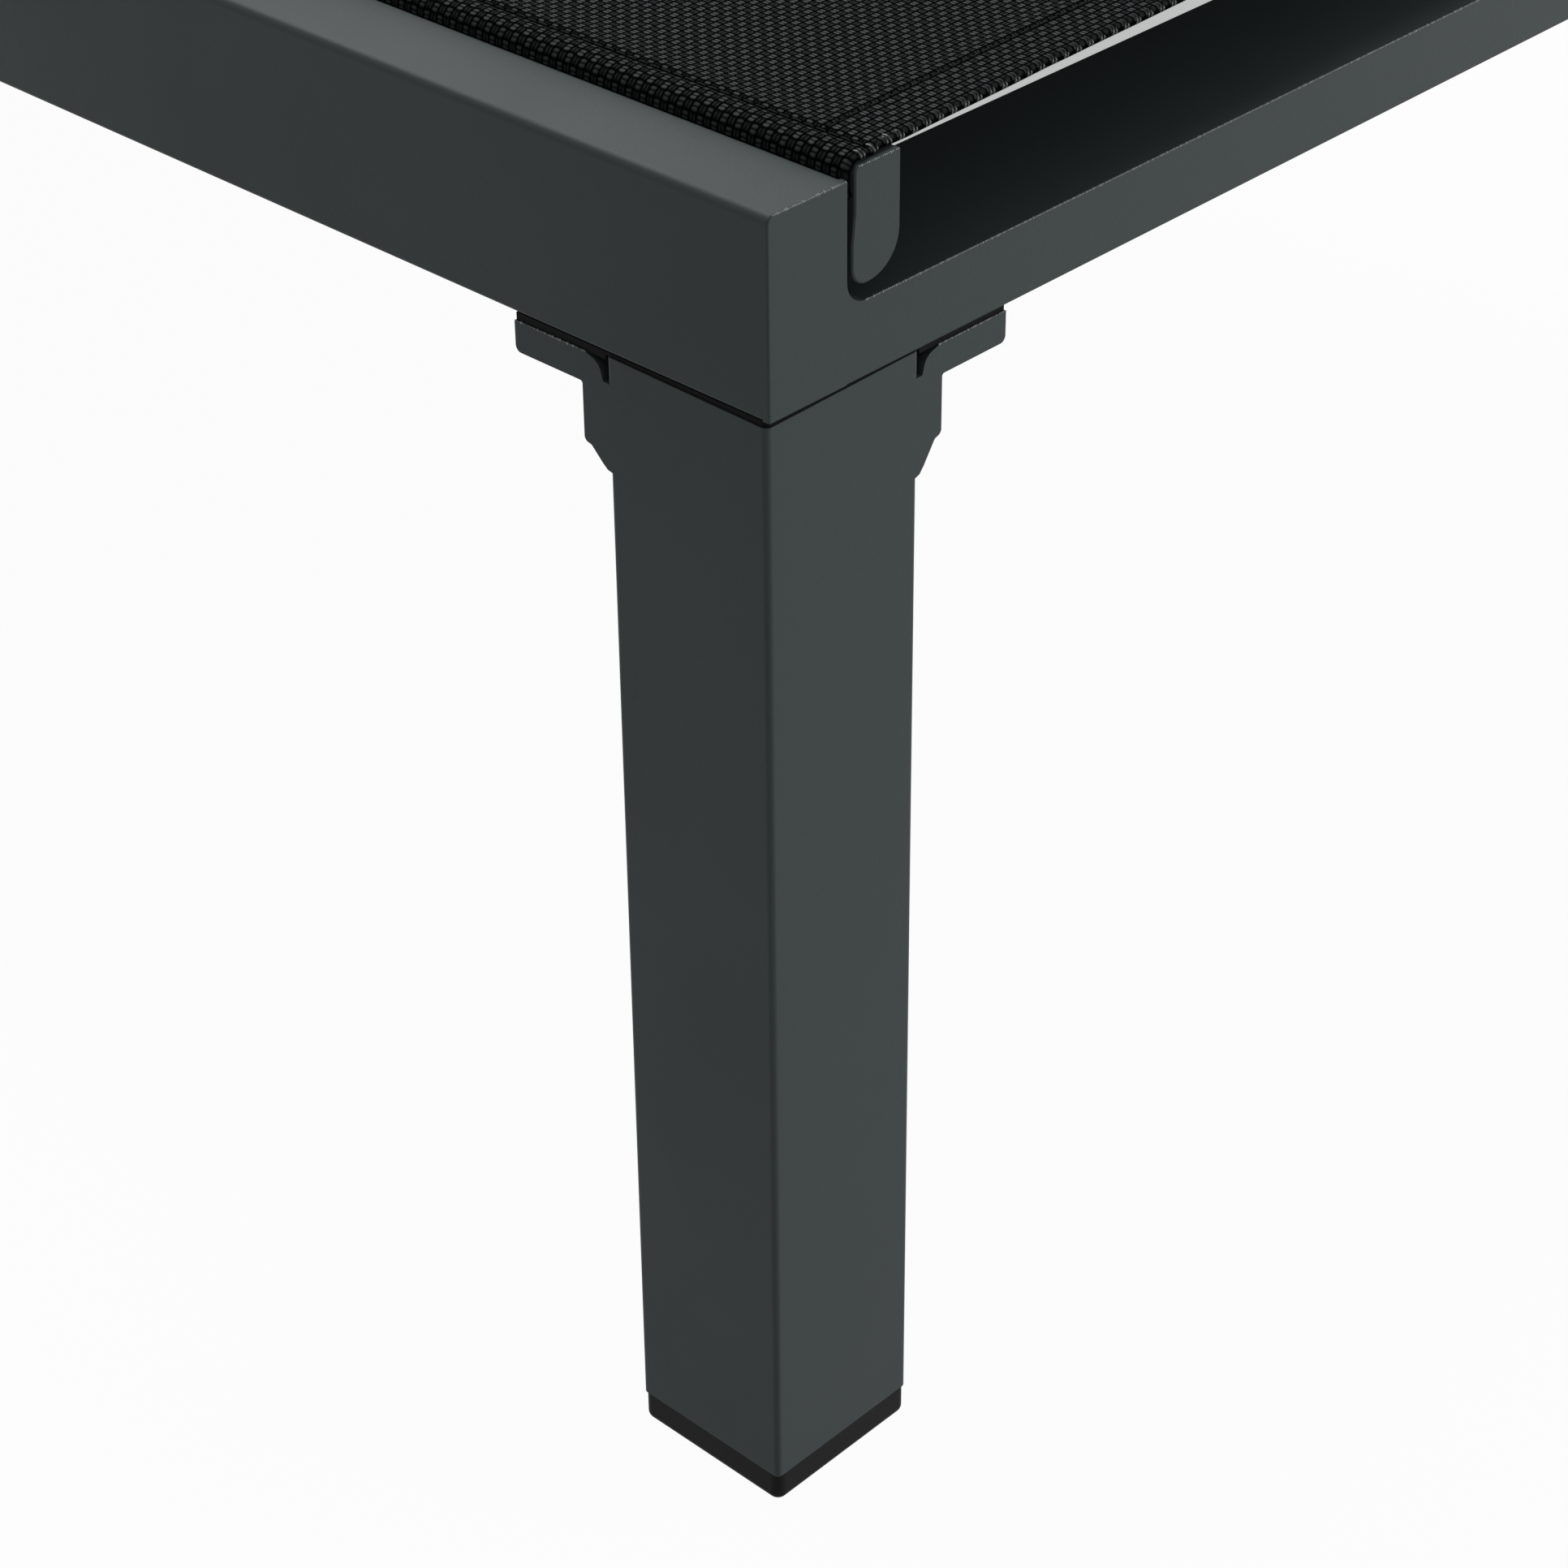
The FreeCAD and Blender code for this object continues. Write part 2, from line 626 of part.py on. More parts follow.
# ---- Sling rails ---------------------------------------------------------------------------------
def sling_rail_outline(shrink=0.0):
    """The sling rail's section as (x, z, radius) corners; shrink draws its inside."""
    x0 = sling_outer + shrink
    x1 = sling_inner - shrink
    relieved = x0 + sling_rail_relief
    z0 = sling_bottom + shrink
    z1 = sling_top - shrink
    step = (z0 + z1) / 2 - sling_rail_step_drop
    return [
        (x0, z0, max(sling_rail_toe_radius - shrink, 0.3)),
        (x1, z0, max(sling_rail_belly_radius - shrink, 0.3)),
        (x1, z1, max(sling_rail_brow_radius - shrink, 0.3)),
        (relieved, z1, max(sling_rail_shoulder_radius - shrink, 0.3)),
        (relieved, step + sling_rail_step_height, 1.0),
        (x0, step, 1.0),
    ]


def flat_face(corners, y):
    """A flat face at y with a rounded outline of (x, z, radius) corners."""
    return Part.Face(rounded_loop(corners, lambda p: V(p.x, y, p.y)))


def sling_rail(y0, y1):
    """The extrusion: hollow, with a round groove near the top whose mouth faces the side rail."""
    hub = groove_radius + sling_rail_wall
    across = V(0, 1, 0)
    disc = Part.Face(Part.Wire(Part.makeCircle(hub, V(groove_x, y0, groove_z), across)))
    hole = Part.Face(Part.Wire(Part.makeCircle(groove_radius, V(groove_x, y0, groove_z), across)))
    lips = groove_mouth / 2 + sling_rail_wall
    web = flat_face(rectangle(sling_outer - cut_margin, groove_x, groove_z - lips, groove_z + lips, 0), y0)
    mouth = flat_face(rectangle(sling_outer - cut_margin, groove_x, groove_z - groove_mouth / 2,
                                groove_z + groove_mouth / 2, 0), y0)
    hollow = flat_face(sling_rail_outline(sling_rail_wall), y0).cut(disc).cut(web)
    section = flat_face(sling_rail_outline(), y0).cut(hollow).cut(hole).cut(mouth)
    return section.Faces[0].extrude(V(0, y1 - y0, 0))


def seat_rail():
    """The -X seat rail, drilled for its screws."""
    rail = sling_rail(seat_rail_start + sling_cap_thickness, seat_rail_end - sling_cap_thickness)
    hole = screw_radius + screw_hole_clearance
    for y in seat_screw_places():
        rail = rail.cut(cylinder(hole, V(sling_outer - cut_margin, y, screw_z),
                                 V(sling_inner + cut_margin, y, screw_z)))
    return rail


def back_rail():
    """The -X rail of the backrest."""
    return sling_rail(back_rail_start + sling_cap_thickness, back_rail_end - sling_cap_thickness)


def rail_cap(y, inward):
    """The closed end of a sling rail: a plate at y whose outer face has a small chamfer round it."""
    plate = along_y(sling_rail_outline(), min(y, y + inward * sling_cap_thickness),
                    max(y, y + inward * sling_cap_thickness))
    rim = [e for e in plate.Edges if abs(e.BoundBox.YMin - y) < 1e-6 and abs(e.BoundBox.YMax - y) < 1e-6]
    return plate.makeChamfer(sling_cap_chamfer, rim)


def rail_caps(y0, y1):
    """The four caps of a pair of sling rails that run from y0 to y1."""
    left = [rail_cap(y0, 1), rail_cap(y1, -1)]
    return group(left + [mirror_x(c) for c in left])


def spreader(y, bow):
    """A tube between two sling rails that keeps the cloth tight; it dips by bow at mid width."""
    span = -2 * sling_inner
    y0 = y - spreader_depth / 2
    y1 = y + spreader_depth / 2
    z0 = spreader_bottom
    z1 = spreader_bottom + spreader_height
    w = spreader_wall
    if bow <= 0:
        outer = along_x(rectangle(y0, y1, z0, z1, spreader_radius), sling_inner, -sling_inner)
        bore = rectangle(y0 + w, y1 - w, z0 + w, z1 - w, 0)
        return outer.cut(along_x(bore, sling_inner, -sling_inner))
    radius = span * span / (8 * bow) + bow / 2
    centre = V(0, 0, z0 - bow + radius)
    half_turn = math.degrees(math.asin(min(0.99, (span / 2 + 2 * bow) / radius)))
    tubes = []
    for corners in (rectangle(y0, y1, z0 - bow, z1 - bow, spreader_radius),
                    rectangle(y0 + w, y1 - w, z0 - bow + w, z1 - bow - w, 0)):
        face = Part.Face(rounded_loop(corners, lambda p: V(0, p.x, p.y)))
        halves = [face.revolve(centre, V(0, 1, 0), side * half_turn) for side in (1, -1)]
        tubes.append(halves[0].fuse(halves[1]).removeSplitter())
    room = box(sling_inner, -sling_inner, y0 - cut_margin, y1 + cut_margin, z0 - 2 * bow, z1 + 3 * bow)
    return tubes[0].cut(tubes[1]).common(room)


def seat_spreader_places():
    """Y of the seat's spreaders, clear of the cross rails below."""
    middle = seat_cross_y + cross_depth + seat_spreader_from_cross_rail
    return [seat_rail_start + foot_spreader_from_end, middle, hinge_cross_y - last_spreader_from_hinge_rail]


# ---- Slings --------------------------------------------------------------------------------------
def sling(y0, y1):
    """A stretched sheet over two sling rails; its edges turn down into the grooves and round their cords."""
    t = cloth_thickness
    c = cloth_clearance
    top = sling_top + c + t
    outer = sling_outer + sling_rail_relief - c - t
    sheet = box(outer + t, -outer - t, y0, y1, top - t, top)
    bend = Part.makeCylinder(2 * t, y1 - y0, V(outer + 2 * t, y0, top - 2 * t), V(0, 1, 0))
    bend = bend.cut(Part.makeCylinder(t, y1 - y0, V(outer + 2 * t, y0, top - 2 * t), V(0, 1, 0)))
    bend = bend.common(box(outer, outer + 2 * t, y0, y1, top - 2 * t, top))
    flap_end = groove_z - t / 2
    flap = box(outer, outer + t, y0, y1, flap_end, top - 2 * t)
    tongue = box(outer, groove_x - cord_radius, y0, y1, flap_end, flap_end + t)
    cord_room = cord_radius + cord_gap
    ends = (V(groove_x, y0, groove_z), V(groove_x, y1, groove_z))
    loop = ring(cord_room + cord_sleeve_wall, cord_room, *ends)
    tongue = tongue.cut(cylinder(cord_room, *ends))
    sheet = sheet.cut(box(outer, outer + 2 * t, y0, y1, top - 2 * t, top))
    sheet = sheet.cut(box(-outer - 2 * t, -outer, y0, y1, top - 2 * t, top))
    edge = bend.fuse([flap, tongue, loop])
    whole = sheet.fuse([edge, mirror_x(edge)]).removeSplitter()
    for end, side in ((y0, 1), (y1, -1)):
        whole = whole.cut(hem_scoop(end, side))
    return whole


def hem_scoop(y, side):
    """What the curved free hem leaves out: a shallow circle segment between the rails."""
    span = -2 * sling_inner
    radius = span * span / (8 * hem_bow) + hem_bow / 2
    centre = V(0, y + side * (hem_bow - radius), sling_top - cut_margin)
    height = cloth_clearance + cloth_thickness + 2 * cut_margin
    disc = Part.makeCylinder(radius, height, centre, V(0, 0, 1))
    near = box(sling_inner, -sling_inner, y - 2 * hem_bow, y + 2 * hem_bow, centre.z, centre.z + height)
    return disc.common(near)


def sling_cords(y0, y1):
    """The plastic cords in the side hems, locked in the rails' grooves."""
    return both_sides(cylinder(cord_radius, V(groove_x, y0, groove_z), V(groove_x, y1, groove_z)))


# ---- Hinge ---------------------------------------------------------------------------------------
def hinge_lug():
    """The plate under the back rail's lower end that turns on the hinge bolt."""
    r = lug_radius
    eye = cylinder(r, V(lug_x0, hinge_y, hinge_z), V(lug_x1, hinge_y, hinge_z))
    low = hinge_z - lug_drop
    arm = along_x([(hinge_y, low, 0), (back_rail_start + lug_toe_length, low, lug_corner_radius),
                   (back_rail_start + lug_length, sling_bottom, 0), (hinge_y, sling_bottom, 0)],
                  lug_x0, lug_x1)
    hole = cylinder(bush_radius() + running_clearance, V(lug_x0, hinge_y, hinge_z),
                    V(lug_x1, hinge_y, hinge_z))
    above = box(lug_x0 - cut_margin, lug_x1 + cut_margin, back_rail_start - lug_seam_gap, hinge_y + 3 * r,
                sling_bottom, sling_top)
    return eye.fuse(arm).cut(hole).cut(above).removeSplitter()


def bush_radius():
    """Outer radius of the hinge bush."""
    return hinge_bolt_radius + running_clearance + bush_wall


def hinge_bush():
    """A flanged plastic bush; its flange fills the gap between side rail and lug."""
    start = V(rail_inner + running_clearance, hinge_y, hinge_z)
    flange_end = V(lug_x0, hinge_y, hinge_z)
    end = V(lug_x1, hinge_y, hinge_z)
    body = cylinder(bush_radius(), start, end).fuse(cylinder(hinge_washer_radius, start, flange_end))
    return body.cut(cylinder(hinge_bolt_radius + running_clearance, start, end)).removeSplitter()


def hinge_bolt():
    """The bolt through the side rail and the lug, with a low round head outside."""
    head_back = V(-half_width - hinge_head_height, hinge_y, hinge_z)
    bearing = V(-half_width, hinge_y, hinge_z)
    head = button(hinge_head_radius, hinge_head_height, bearing, V(-1, 0, 0))
    socket = hexagon(hinge_socket_flats, head_back, head_back + V(hinge_socket_depth, 0, 0))
    nut_end = lug_x1 + side_play + hinge_washer_thickness + hinge_nut_height
    shank = cylinder(hinge_bolt_radius, bearing - V(head_root, 0, 0),
                     V(nut_end + hinge_thread_end, hinge_y, hinge_z))
    return head.fuse(shank).cut(socket).removeSplitter()


def hinge_nut_and_washer():
    """The washer and lock nut on the bolt's inner end."""
    start = V(lug_x1 + side_play, hinge_y, hinge_z)
    seat = start + V(hinge_washer_thickness, 0, 0)
    end = seat + V(hinge_nut_height, 0, 0)
    bore = hinge_bolt_radius + running_clearance
    nut = hexagon(hinge_nut_flats, seat, end).cut(cylinder(bore, seat, end))
    return [ring(hinge_washer_radius, bore, start, seat), nut]


# ---- Stay ----------------------------------------------------------------------------------------
def stay_bracket():
    """The plate on the back rail's inner face that carries the stay's pivot pin."""
    x0 = sling_inner
    x1 = sling_inner + stay_bracket_thickness
    r = stay_arm_half_width
    half = stay_bracket_length / 2
    top = sling_top - stay_bracket_from_top
    heel = sling_bottom + stay_bracket_heel
    soft = stay_bracket_radius
    outline = [(stay_pivot_y - half, top, soft), (stay_pivot_y - half, heel, soft),
               (stay_pivot_y - r, stay_pivot_z - r, r * 0.9), (stay_pivot_y + r, stay_pivot_z - r, r * 0.9),
               (stay_pivot_y + half, heel, soft), (stay_pivot_y + half, top, soft)]
    return along_x(outline, x0, x1)


def stay_pin():
    """The pivot pin welded to the bracket."""
    start = V(sling_inner + stay_bracket_thickness, stay_pivot_y, stay_pivot_z)
    cap_roof = stay_arm_outer + stay_arm_thickness + side_play + pin_cap_length - pin_cap_roof
    end = V(cap_roof - pin_end_gap, stay_pivot_y, stay_pivot_z)
    return cylinder(stay_pin_radius, start, end)


def stay_pin_cap():
    """The push-on cap that keeps the arm on its pin."""
    start = V(stay_arm_outer + stay_arm_thickness + side_play, stay_pivot_y, stay_pivot_z)
    cap = button(stay_pin_radius + pin_cap_flange, pin_cap_length, start, V(1, 0, 0))
    bore_end = start + V(pin_cap_length - pin_cap_roof, 0, 0)
    return cap.cut(cylinder(stay_pin_radius + running_clearance, start, bore_end))


def stay_bush():
    """The plastic bush in the arm's eye."""
    start = V(stay_arm_outer, stay_pivot_y, stay_pivot_z)
    end = start + V(stay_arm_thickness, 0, 0)
    bore = stay_pin_radius + running_clearance
    return ring(bore + bush_wall, bore, start, end)


def stay_arm():
    """A flat bar with round ends from the pivot to the foot bar, bored for its bush, bar and brace."""
    x0 = stay_arm_outer
    x1 = x0 + stay_arm_thickness
    pivot = V(x0, stay_pivot_y, stay_pivot_z)
    foot = V(x0, foot_bar_y, hinge_z)
    along = (foot - pivot).normalize()
    across = V(1, 0, 0).cross(along) * stay_arm_half_width
    reach = V(stay_arm_thickness, 0, 0)
    bar = Part.Face(Part.makePolygon([pivot + across, foot + across, foot - across, pivot - across,
                                      pivot + across])).extrude(reach)
    arm = bar.fuse([cylinder(stay_arm_half_width, p, p + reach) for p in (pivot, foot)]).removeSplitter()
    eye = stay_pin_radius + running_clearance + bush_wall + running_clearance
    arm = arm.cut(cylinder(eye, pivot, pivot + reach))
    arm = arm.cut(cylinder(foot_bar_radius, foot, foot + reach))
    return arm


def brace_point():
    """Y and Z of the brace's axis."""
    share = brace_from_foot_bar / stay_reach
    return (foot_bar_y + (stay_pivot_y - foot_bar_y) * share, hinge_z + stay_pivot_rise * share)


def stay_brace():
    """The tube between the arms."""
    y, z = brace_point()
    start = V(stay_arm_outer + stay_arm_thickness, y, z)
    return ring(brace_radius, brace_radius - brace_wall, start, V(-start.x, y, z))


def foot_bar_start():
    """The -X end of the foot bar."""
    return V(rail_inner + rack_sheet + rivet_head_height + foot_bar_end_gap, foot_bar_y, hinge_z)


def foot_bar():
    """The round bar through both arms that drops into the rack notches."""
    start = foot_bar_start()
    return cylinder(foot_bar_radius, start, V(-start.x, start.y, start.z))


def foot_bar_sleeve():
    """The plastic sleeve on the bar where it runs on a rack."""
    start = foot_bar_start() + V(sleeve_setback, 0, 0)
    end = V(stay_arm_outer - sleeve_arm_gap, foot_bar_y, hinge_z)
    return ring(sleeve_radius, foot_bar_radius + running_clearance, start, end)


# ---- Racks ---------------------------------------------------------------------------------------
def notch_places():
    """Y of each notch's centre, from the most upright position back."""
    return [last_notch_y + notch_pitch * i for i in range(notch_count)]


def rack_span():
    """Both ends of a rack."""
    return (last_notch_y - rack_end_margin - notch_ramp, foot_bar_y + rack_end_margin)


def rack_rivet_z():
    """Height of the rivets in the rack's tall flange."""
    return (rack_lip_top + sling_bottom) / 2


def rack_rivet_places():
    """Y of each rack rivet."""
    y0, y1 = rack_span()
    return spaced(y0 + rack_rivet_margin, y1 - rack_rivet_margin, rack_rivet_count)


def rack():
    """The folded sheet rack on the -X side rail: a tall flange, a floor and a notched lip."""
    s = rack_sheet
    x0 = rail_inner
    lip_out = rail_inner + rack_lip_from_rail
    top = sling_bottom - rack_flange_gap
    y0, y1 = rack_span()
    soft = rack_lip_radius
    outline = [(x0, rack_floor, s), (lip_out, rack_floor, s), (lip_out, rack_lip_top, soft),
               (lip_out - s, rack_lip_top, soft), (lip_out - s, rack_floor + s, soft),
               (x0 + s, rack_floor + s, soft), (x0 + s, top, soft), (x0, top, 0.0)]
    shape = along_y(outline, y0, y1)
    hollow = sleeve_radius + notch_clearance
    near = lip_out - s - cut_margin
    far = lip_out + cut_margin
    over = rack_lip_top + cut_margin
    for y in notch_places():
        z = rack_lip_top - notch_depth + hollow
        seat = cylinder(hollow, V(near, y, z), V(far, y, z))
        ramp = along_x([(y - hollow - notch_ramp, over, 0), (y - hollow - notch_ramp, rack_lip_top, 0),
                        (y, rack_lip_top - notch_depth, 0), (y, over, 0)], near, far)
        above = box(near, far, y, y + hollow, z, max(over, z + cut_margin))
        shape = shape.cut(seat.fuse([ramp, above]))
    for y in rack_rivet_places():
        z = rack_rivet_z()
        shape = shape.cut(cylinder(rivet_shank_radius + running_clearance, V(x0 - cut_margin, y, z),
                                   V(x0 + s + cut_margin, y, z)))
    return shape


def rack_rivets():
    """Blind rivets through the racks' tall flanges."""
    left = []
    for y in rack_rivet_places():
        z = rack_rivet_z()
        face = V(rail_inner + rack_sheet, y, z)
        head = button(rivet_head_radius, rivet_head_height, face, V(1, 0, 0))
        shank = cylinder(rivet_shank_radius, face + V(head_root, 0, 0),
                         V(rail_inner - rail_wall - rivet_tail, y, z))
        left.append(head.fuse(shank).removeSplitter())
    return group(left + [mirror_x(s) for s in left])


def bumper_place():
    """X and Y of the -X bumper: beside the weld fillet, under the back rail."""
    return rail_inner + corner_weld_radius + bumper_radius + bumper_gap, half_length - cross_depth / 2


def bumper():
    """A rubber button on the head end rail under a back rail's end."""
    x, y = bumper_place()
    base = V(x, y, cross_top)
    tip = V(x, y, sling_bottom - bumper_gap)
    pad = button(bumper_radius, (tip - base).Length, base, V(0, 0, 1))
    stem = cylinder(bumper_stem_radius, V(x, y, cross_top - bumper_stem_length), base)
    return pad.fuse(stem).removeSplitter()


def head_end_rail():
    """The head end's cross rail: the foot end's turned round, with holes for the bumpers' stems."""
    rail = mirror_y(drilled_end_rail())
    x, y = bumper_place()
    for side in (x, -x):
        hole = cylinder(bumper_stem_radius + running_clearance,
                        V(side, y, cross_top - cross_wall - cut_margin),
                        V(side, y, cross_top + cut_margin))
        rail = rail.cut(hole)
    return rail


# ---- Build ---------------------------------------------------------------------------------------
os.makedirs("parts", exist_ok=True)


def save_pair(name, shape):
    """A piece and its mirror image, as two nodes."""
    save(name + "_left", mirror_x(shape))
    save(name + "_right", shape)


def build_frame():
    """The welded frame."""
    save_pair("side_rail", side_rail())
    plate = end_plate()
    save("rail_end_plates", group([plate, mirror_x(plate), mirror_y(plate), mirror_x(mirror_y(plate))]))
    save("foot_end_rail", drilled_end_rail())
    save("head_end_rail", head_end_rail())
    save("cross_rail_seat", cross_rail(seat_cross_y))
    save("cross_rail_hinge", cross_rail(hinge_cross_y))


def build_legs():
    """Four bolted legs with their brackets, feet and plugs."""
    plugs = []
    brackets = group([side_bracket(), end_bracket()])
    pieces = {"leg": leg_tube(), "leg_brackets": brackets, "foot_cap": foot_cap()}
    for end, turn in (("foot", lambda s: s), ("head", mirror_y)):
        for side, flip in (("right", lambda s: s), ("left", mirror_x)):
            for name, shape in pieces.items():
                save(f"{name}_{end}_{side}", flip(turn(shape)))
            plugs.append(flip(turn(top_plug())))
    save("leg_top_plugs", group(plugs))
    save("leg_screws", leg_screws())
    save("leg_nuts", leg_nuts())


def build_seat():
    """The fixed seat sling on its rails."""
    save_pair("seat_rail", seat_rail())
    save("seat_rail_caps", rail_caps(seat_rail_start, seat_rail_end))
    for i, y in enumerate(seat_spreader_places()):
        save(f"seat_spreader_{i + 1}", spreader(y, spreader_bow))
    save("seat_screws", seat_screws())
    save("seat_nuts", seat_nuts())
    y0 = seat_rail_start + cloth_end_inset
    y1 = seat_rail_end - cloth_end_inset
    save("seat_sling", sling(y0, y1))
    save("seat_sling_cords", sling_cords(y0, y1))


def build_backrest():
    """The backrest that tips up, with its hinge and stay brackets."""
    save_pair("back_rail", back_rail())
    save("back_rail_caps", rail_caps(back_rail_start, back_rail_end))
    middle = stay_pivot_y - stay_bracket_length / 2 - middle_spreader_gap
    save("back_spreader_lower", spreader(back_rail_start + lower_spreader_from_end, spreader_bow))
    save("back_spreader_middle", spreader(middle, spreader_bow))
    save("back_spreader_top", spreader(back_rail_end - top_spreader_from_end, 0.0))
    save_pair("hinge_lug", hinge_lug())
    save("hinge_bushes", both_sides(hinge_bush()))
    save_pair("stay_bracket", stay_bracket())
    save("stay_pins", both_sides(stay_pin()))
    save("stay_pin_caps", both_sides(stay_pin_cap()))
    y0 = back_rail_start + cloth_end_inset
    y1 = back_rail_end - cloth_end_inset
    save("back_sling", sling(y0, y1))
    save("back_sling_cords", sling_cords(y0, y1))


def build_hinge():
    """What stays with the frame at the hinge and at the racks."""
    save("hinge_bolts", both_sides(hinge_bolt()))
    left = hinge_nut_and_washer()
    save("hinge_nuts", group(left + [mirror_x(s) for s in left]))
    save_pair("rack", rack())
    save("rack_rivets", rack_rivets())
    save("bumpers", both_sides(bumper()))


def build_stay():
    """The swinging stay."""
    save_pair("stay_arm", stay_arm())
    save("stay_bushes", both_sides(stay_bush()))
    save("stay_brace", stay_brace())
    save("stay_foot_bar", foot_bar())
    save("stay_sleeves", both_sides(foot_bar_sleeve()))


build_frame()
build_legs()
build_seat()
build_backrest()
build_hinge()
build_stay()
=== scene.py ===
"""Looks of the reclining sun lounger: powder-coated frame, woven mesh slings with their seams, moulded feet.

Everything is in metres, in the frame's own axes: +Z up, -Y the foot end, +Y the head end.
"""
import json
import math

import bpy
from mathutils import Matrix, Vector, noise


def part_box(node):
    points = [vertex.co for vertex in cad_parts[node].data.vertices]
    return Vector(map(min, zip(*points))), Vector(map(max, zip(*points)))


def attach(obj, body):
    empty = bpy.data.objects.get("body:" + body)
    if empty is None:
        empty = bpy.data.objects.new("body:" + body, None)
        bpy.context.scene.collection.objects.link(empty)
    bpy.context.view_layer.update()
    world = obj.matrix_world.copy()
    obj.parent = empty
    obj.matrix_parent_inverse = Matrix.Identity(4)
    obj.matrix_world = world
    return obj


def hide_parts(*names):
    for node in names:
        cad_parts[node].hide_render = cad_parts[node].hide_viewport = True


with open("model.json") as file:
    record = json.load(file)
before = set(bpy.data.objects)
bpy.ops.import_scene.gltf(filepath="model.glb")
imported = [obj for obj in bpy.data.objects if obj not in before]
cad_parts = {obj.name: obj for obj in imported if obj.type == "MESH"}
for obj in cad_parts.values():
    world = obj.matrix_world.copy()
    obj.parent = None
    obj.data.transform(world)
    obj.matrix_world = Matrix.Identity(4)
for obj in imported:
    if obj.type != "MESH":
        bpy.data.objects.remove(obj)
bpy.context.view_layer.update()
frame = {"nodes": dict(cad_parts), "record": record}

MM = 0.001

# ---- Values --------------------------------------------------------------------------------------
cloth_thickness = 0.85 * MM
cloth_lift = 0.05 * MM  # clear of the rail below it
hem_width = 11.0 * MM  # from the middle of a free end's fold to its seam
under_reach = hem_width - 0.6 * MM  # of a folded end's second layer, just short of its seam
fold_radius = 0.46 * MM  # of the cloth's middle round a free end's fold
fold_droop = 0.3  # how much deeper a fold hangs between the rails
fold_droop_run = 3.0 * MM  # from a sling rail's inner face to where it hangs that deep
fold_front = 0.70 * MM  # how far the fold stands out of the solid cloth's end
side_seam_from_rail = 7.7 * MM  # from the side rail's inner face to the long seam
seam_sink = 0.3 * MM
seam_run_out = 9.0 * MM  # over which the single cloth comes down beside a doubled hem
side_seam_half_width = 1.0 * MM
end_seam_half_width = 0.6 * MM
hem_curve = 9.6 * MM  # how far a free end curves in at mid width
cloth_sag = 2.5 * MM
pucker = 0.14 * MM  # unevenness of the sewn hems
slow_pucker, fast_pucker = 170.0, 420.0  # waves in a metre, of the whole unevenness and of its finer half
warp_pitch = 1.9 * MM  # a pair of yarns, across the lounger
weft_pitch = 1.84 * MM  # and along it
cloth_step = 7.0 * MM  # of the sheet's mesh away from its seams and folds
stitch_pitch = 3.0 * MM
thread_radius = 0.2 * MM
yarn_radius = 0.28 * MM
# The doubled side hem's outer layer, from the groove up over the sling rail to the long seam:
# (distance from the side rail's inner face, height over the sling rail's top), in millimetres
side_hem = [(3.4, -6.0), (1.7, -6.0), (0.85, -5.2), (0.62, -4.0), (0.60, -2.9), (0.62, -1.9), (0.75, -1.0),
            (1.1, -0.2), (1.65, 0.45), (2.35, 0.9), (3.2, 1.2), (4.3, 1.35), (5.2, 1.375), (5.9, 1.375)]

side_rail_low, side_rail_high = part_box("side_rail_right")
seat_rail_low, seat_rail_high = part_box("seat_rail_right")
rail_inner_x = side_rail_high[0]
frame_bottom_z = side_rail_low[2]
sling_top_z = seat_rail_high[2]


# ---- Node helpers --------------------------------------------------------------------------------
class Wires:
    """Adds nodes to a tree and joins them."""

    def __init__(self, tree):
        self.tree = tree
        self.column = 0

    def node(self, kind, values=None, **settings):
        """A node with its properties set and its inputs set or linked, by name or number."""
        n = self.tree.nodes.new(kind)
        self.column += 1
        n.location = (self.column * 180, 0)
        for key, value in settings.items():
            setattr(n, key, value)
        for key, value in (values or {}).items():
            self.put(n.inputs[key], value)
        return n

    def put(self, socket, value):
        """Links an output socket or sets a plain value."""
        if isinstance(value, bpy.types.NodeSocket):
            self.tree.links.new(value, socket)
        else:
            socket.default_value = value

    def math(self, operation, a, b=None):
        """The result of one maths operation."""
        n = self.node("ShaderNodeMath", operation=operation)
        self.put(n.inputs[0], a)
        if b is not None:
            self.put(n.inputs[1], b)
        return n.outputs[0]

    def remap(self, value, start, end, low=0.0, high=1.0, kind="LINEAR"):
        """The value's way from start to end, held within them and spread from low to high."""
        n = self.node("ShaderNodeMapRange", {"Value": value, 1: start, 2: end, 3: low, 4: high},
                      interpolation_type=kind)
        return n.outputs[0]

    def mix_value(self, factor, a, b):
        """A blend of two values."""
        n = self.node("ShaderNodeMix", data_type="FLOAT")
        for i, value in ((0, factor), (2, a), (3, b)):
            self.put(n.inputs[i], value)
        return n.outputs[0]

    def mix_colour(self, factor, a, b):
        """A blend of two colours."""
        n = self.node("ShaderNodeMix", data_type="RGBA")
        for i, value in ((0, factor), (6, a), (7, b)):
            self.put(n.inputs[i], value)
        return n.outputs[2]

    def seen(self):
        """1 for what the camera, gloss or glass looks at, 0 for the rays that carry light."""
        path = self.node("ShaderNodeLightPath").outputs
        in_gloss = self.math("MAXIMUM", path["Is Glossy Ray"], path["Is Transmission Ray"])
        return self.math("MAXIMUM", path["Is Camera Ray"], in_gloss)


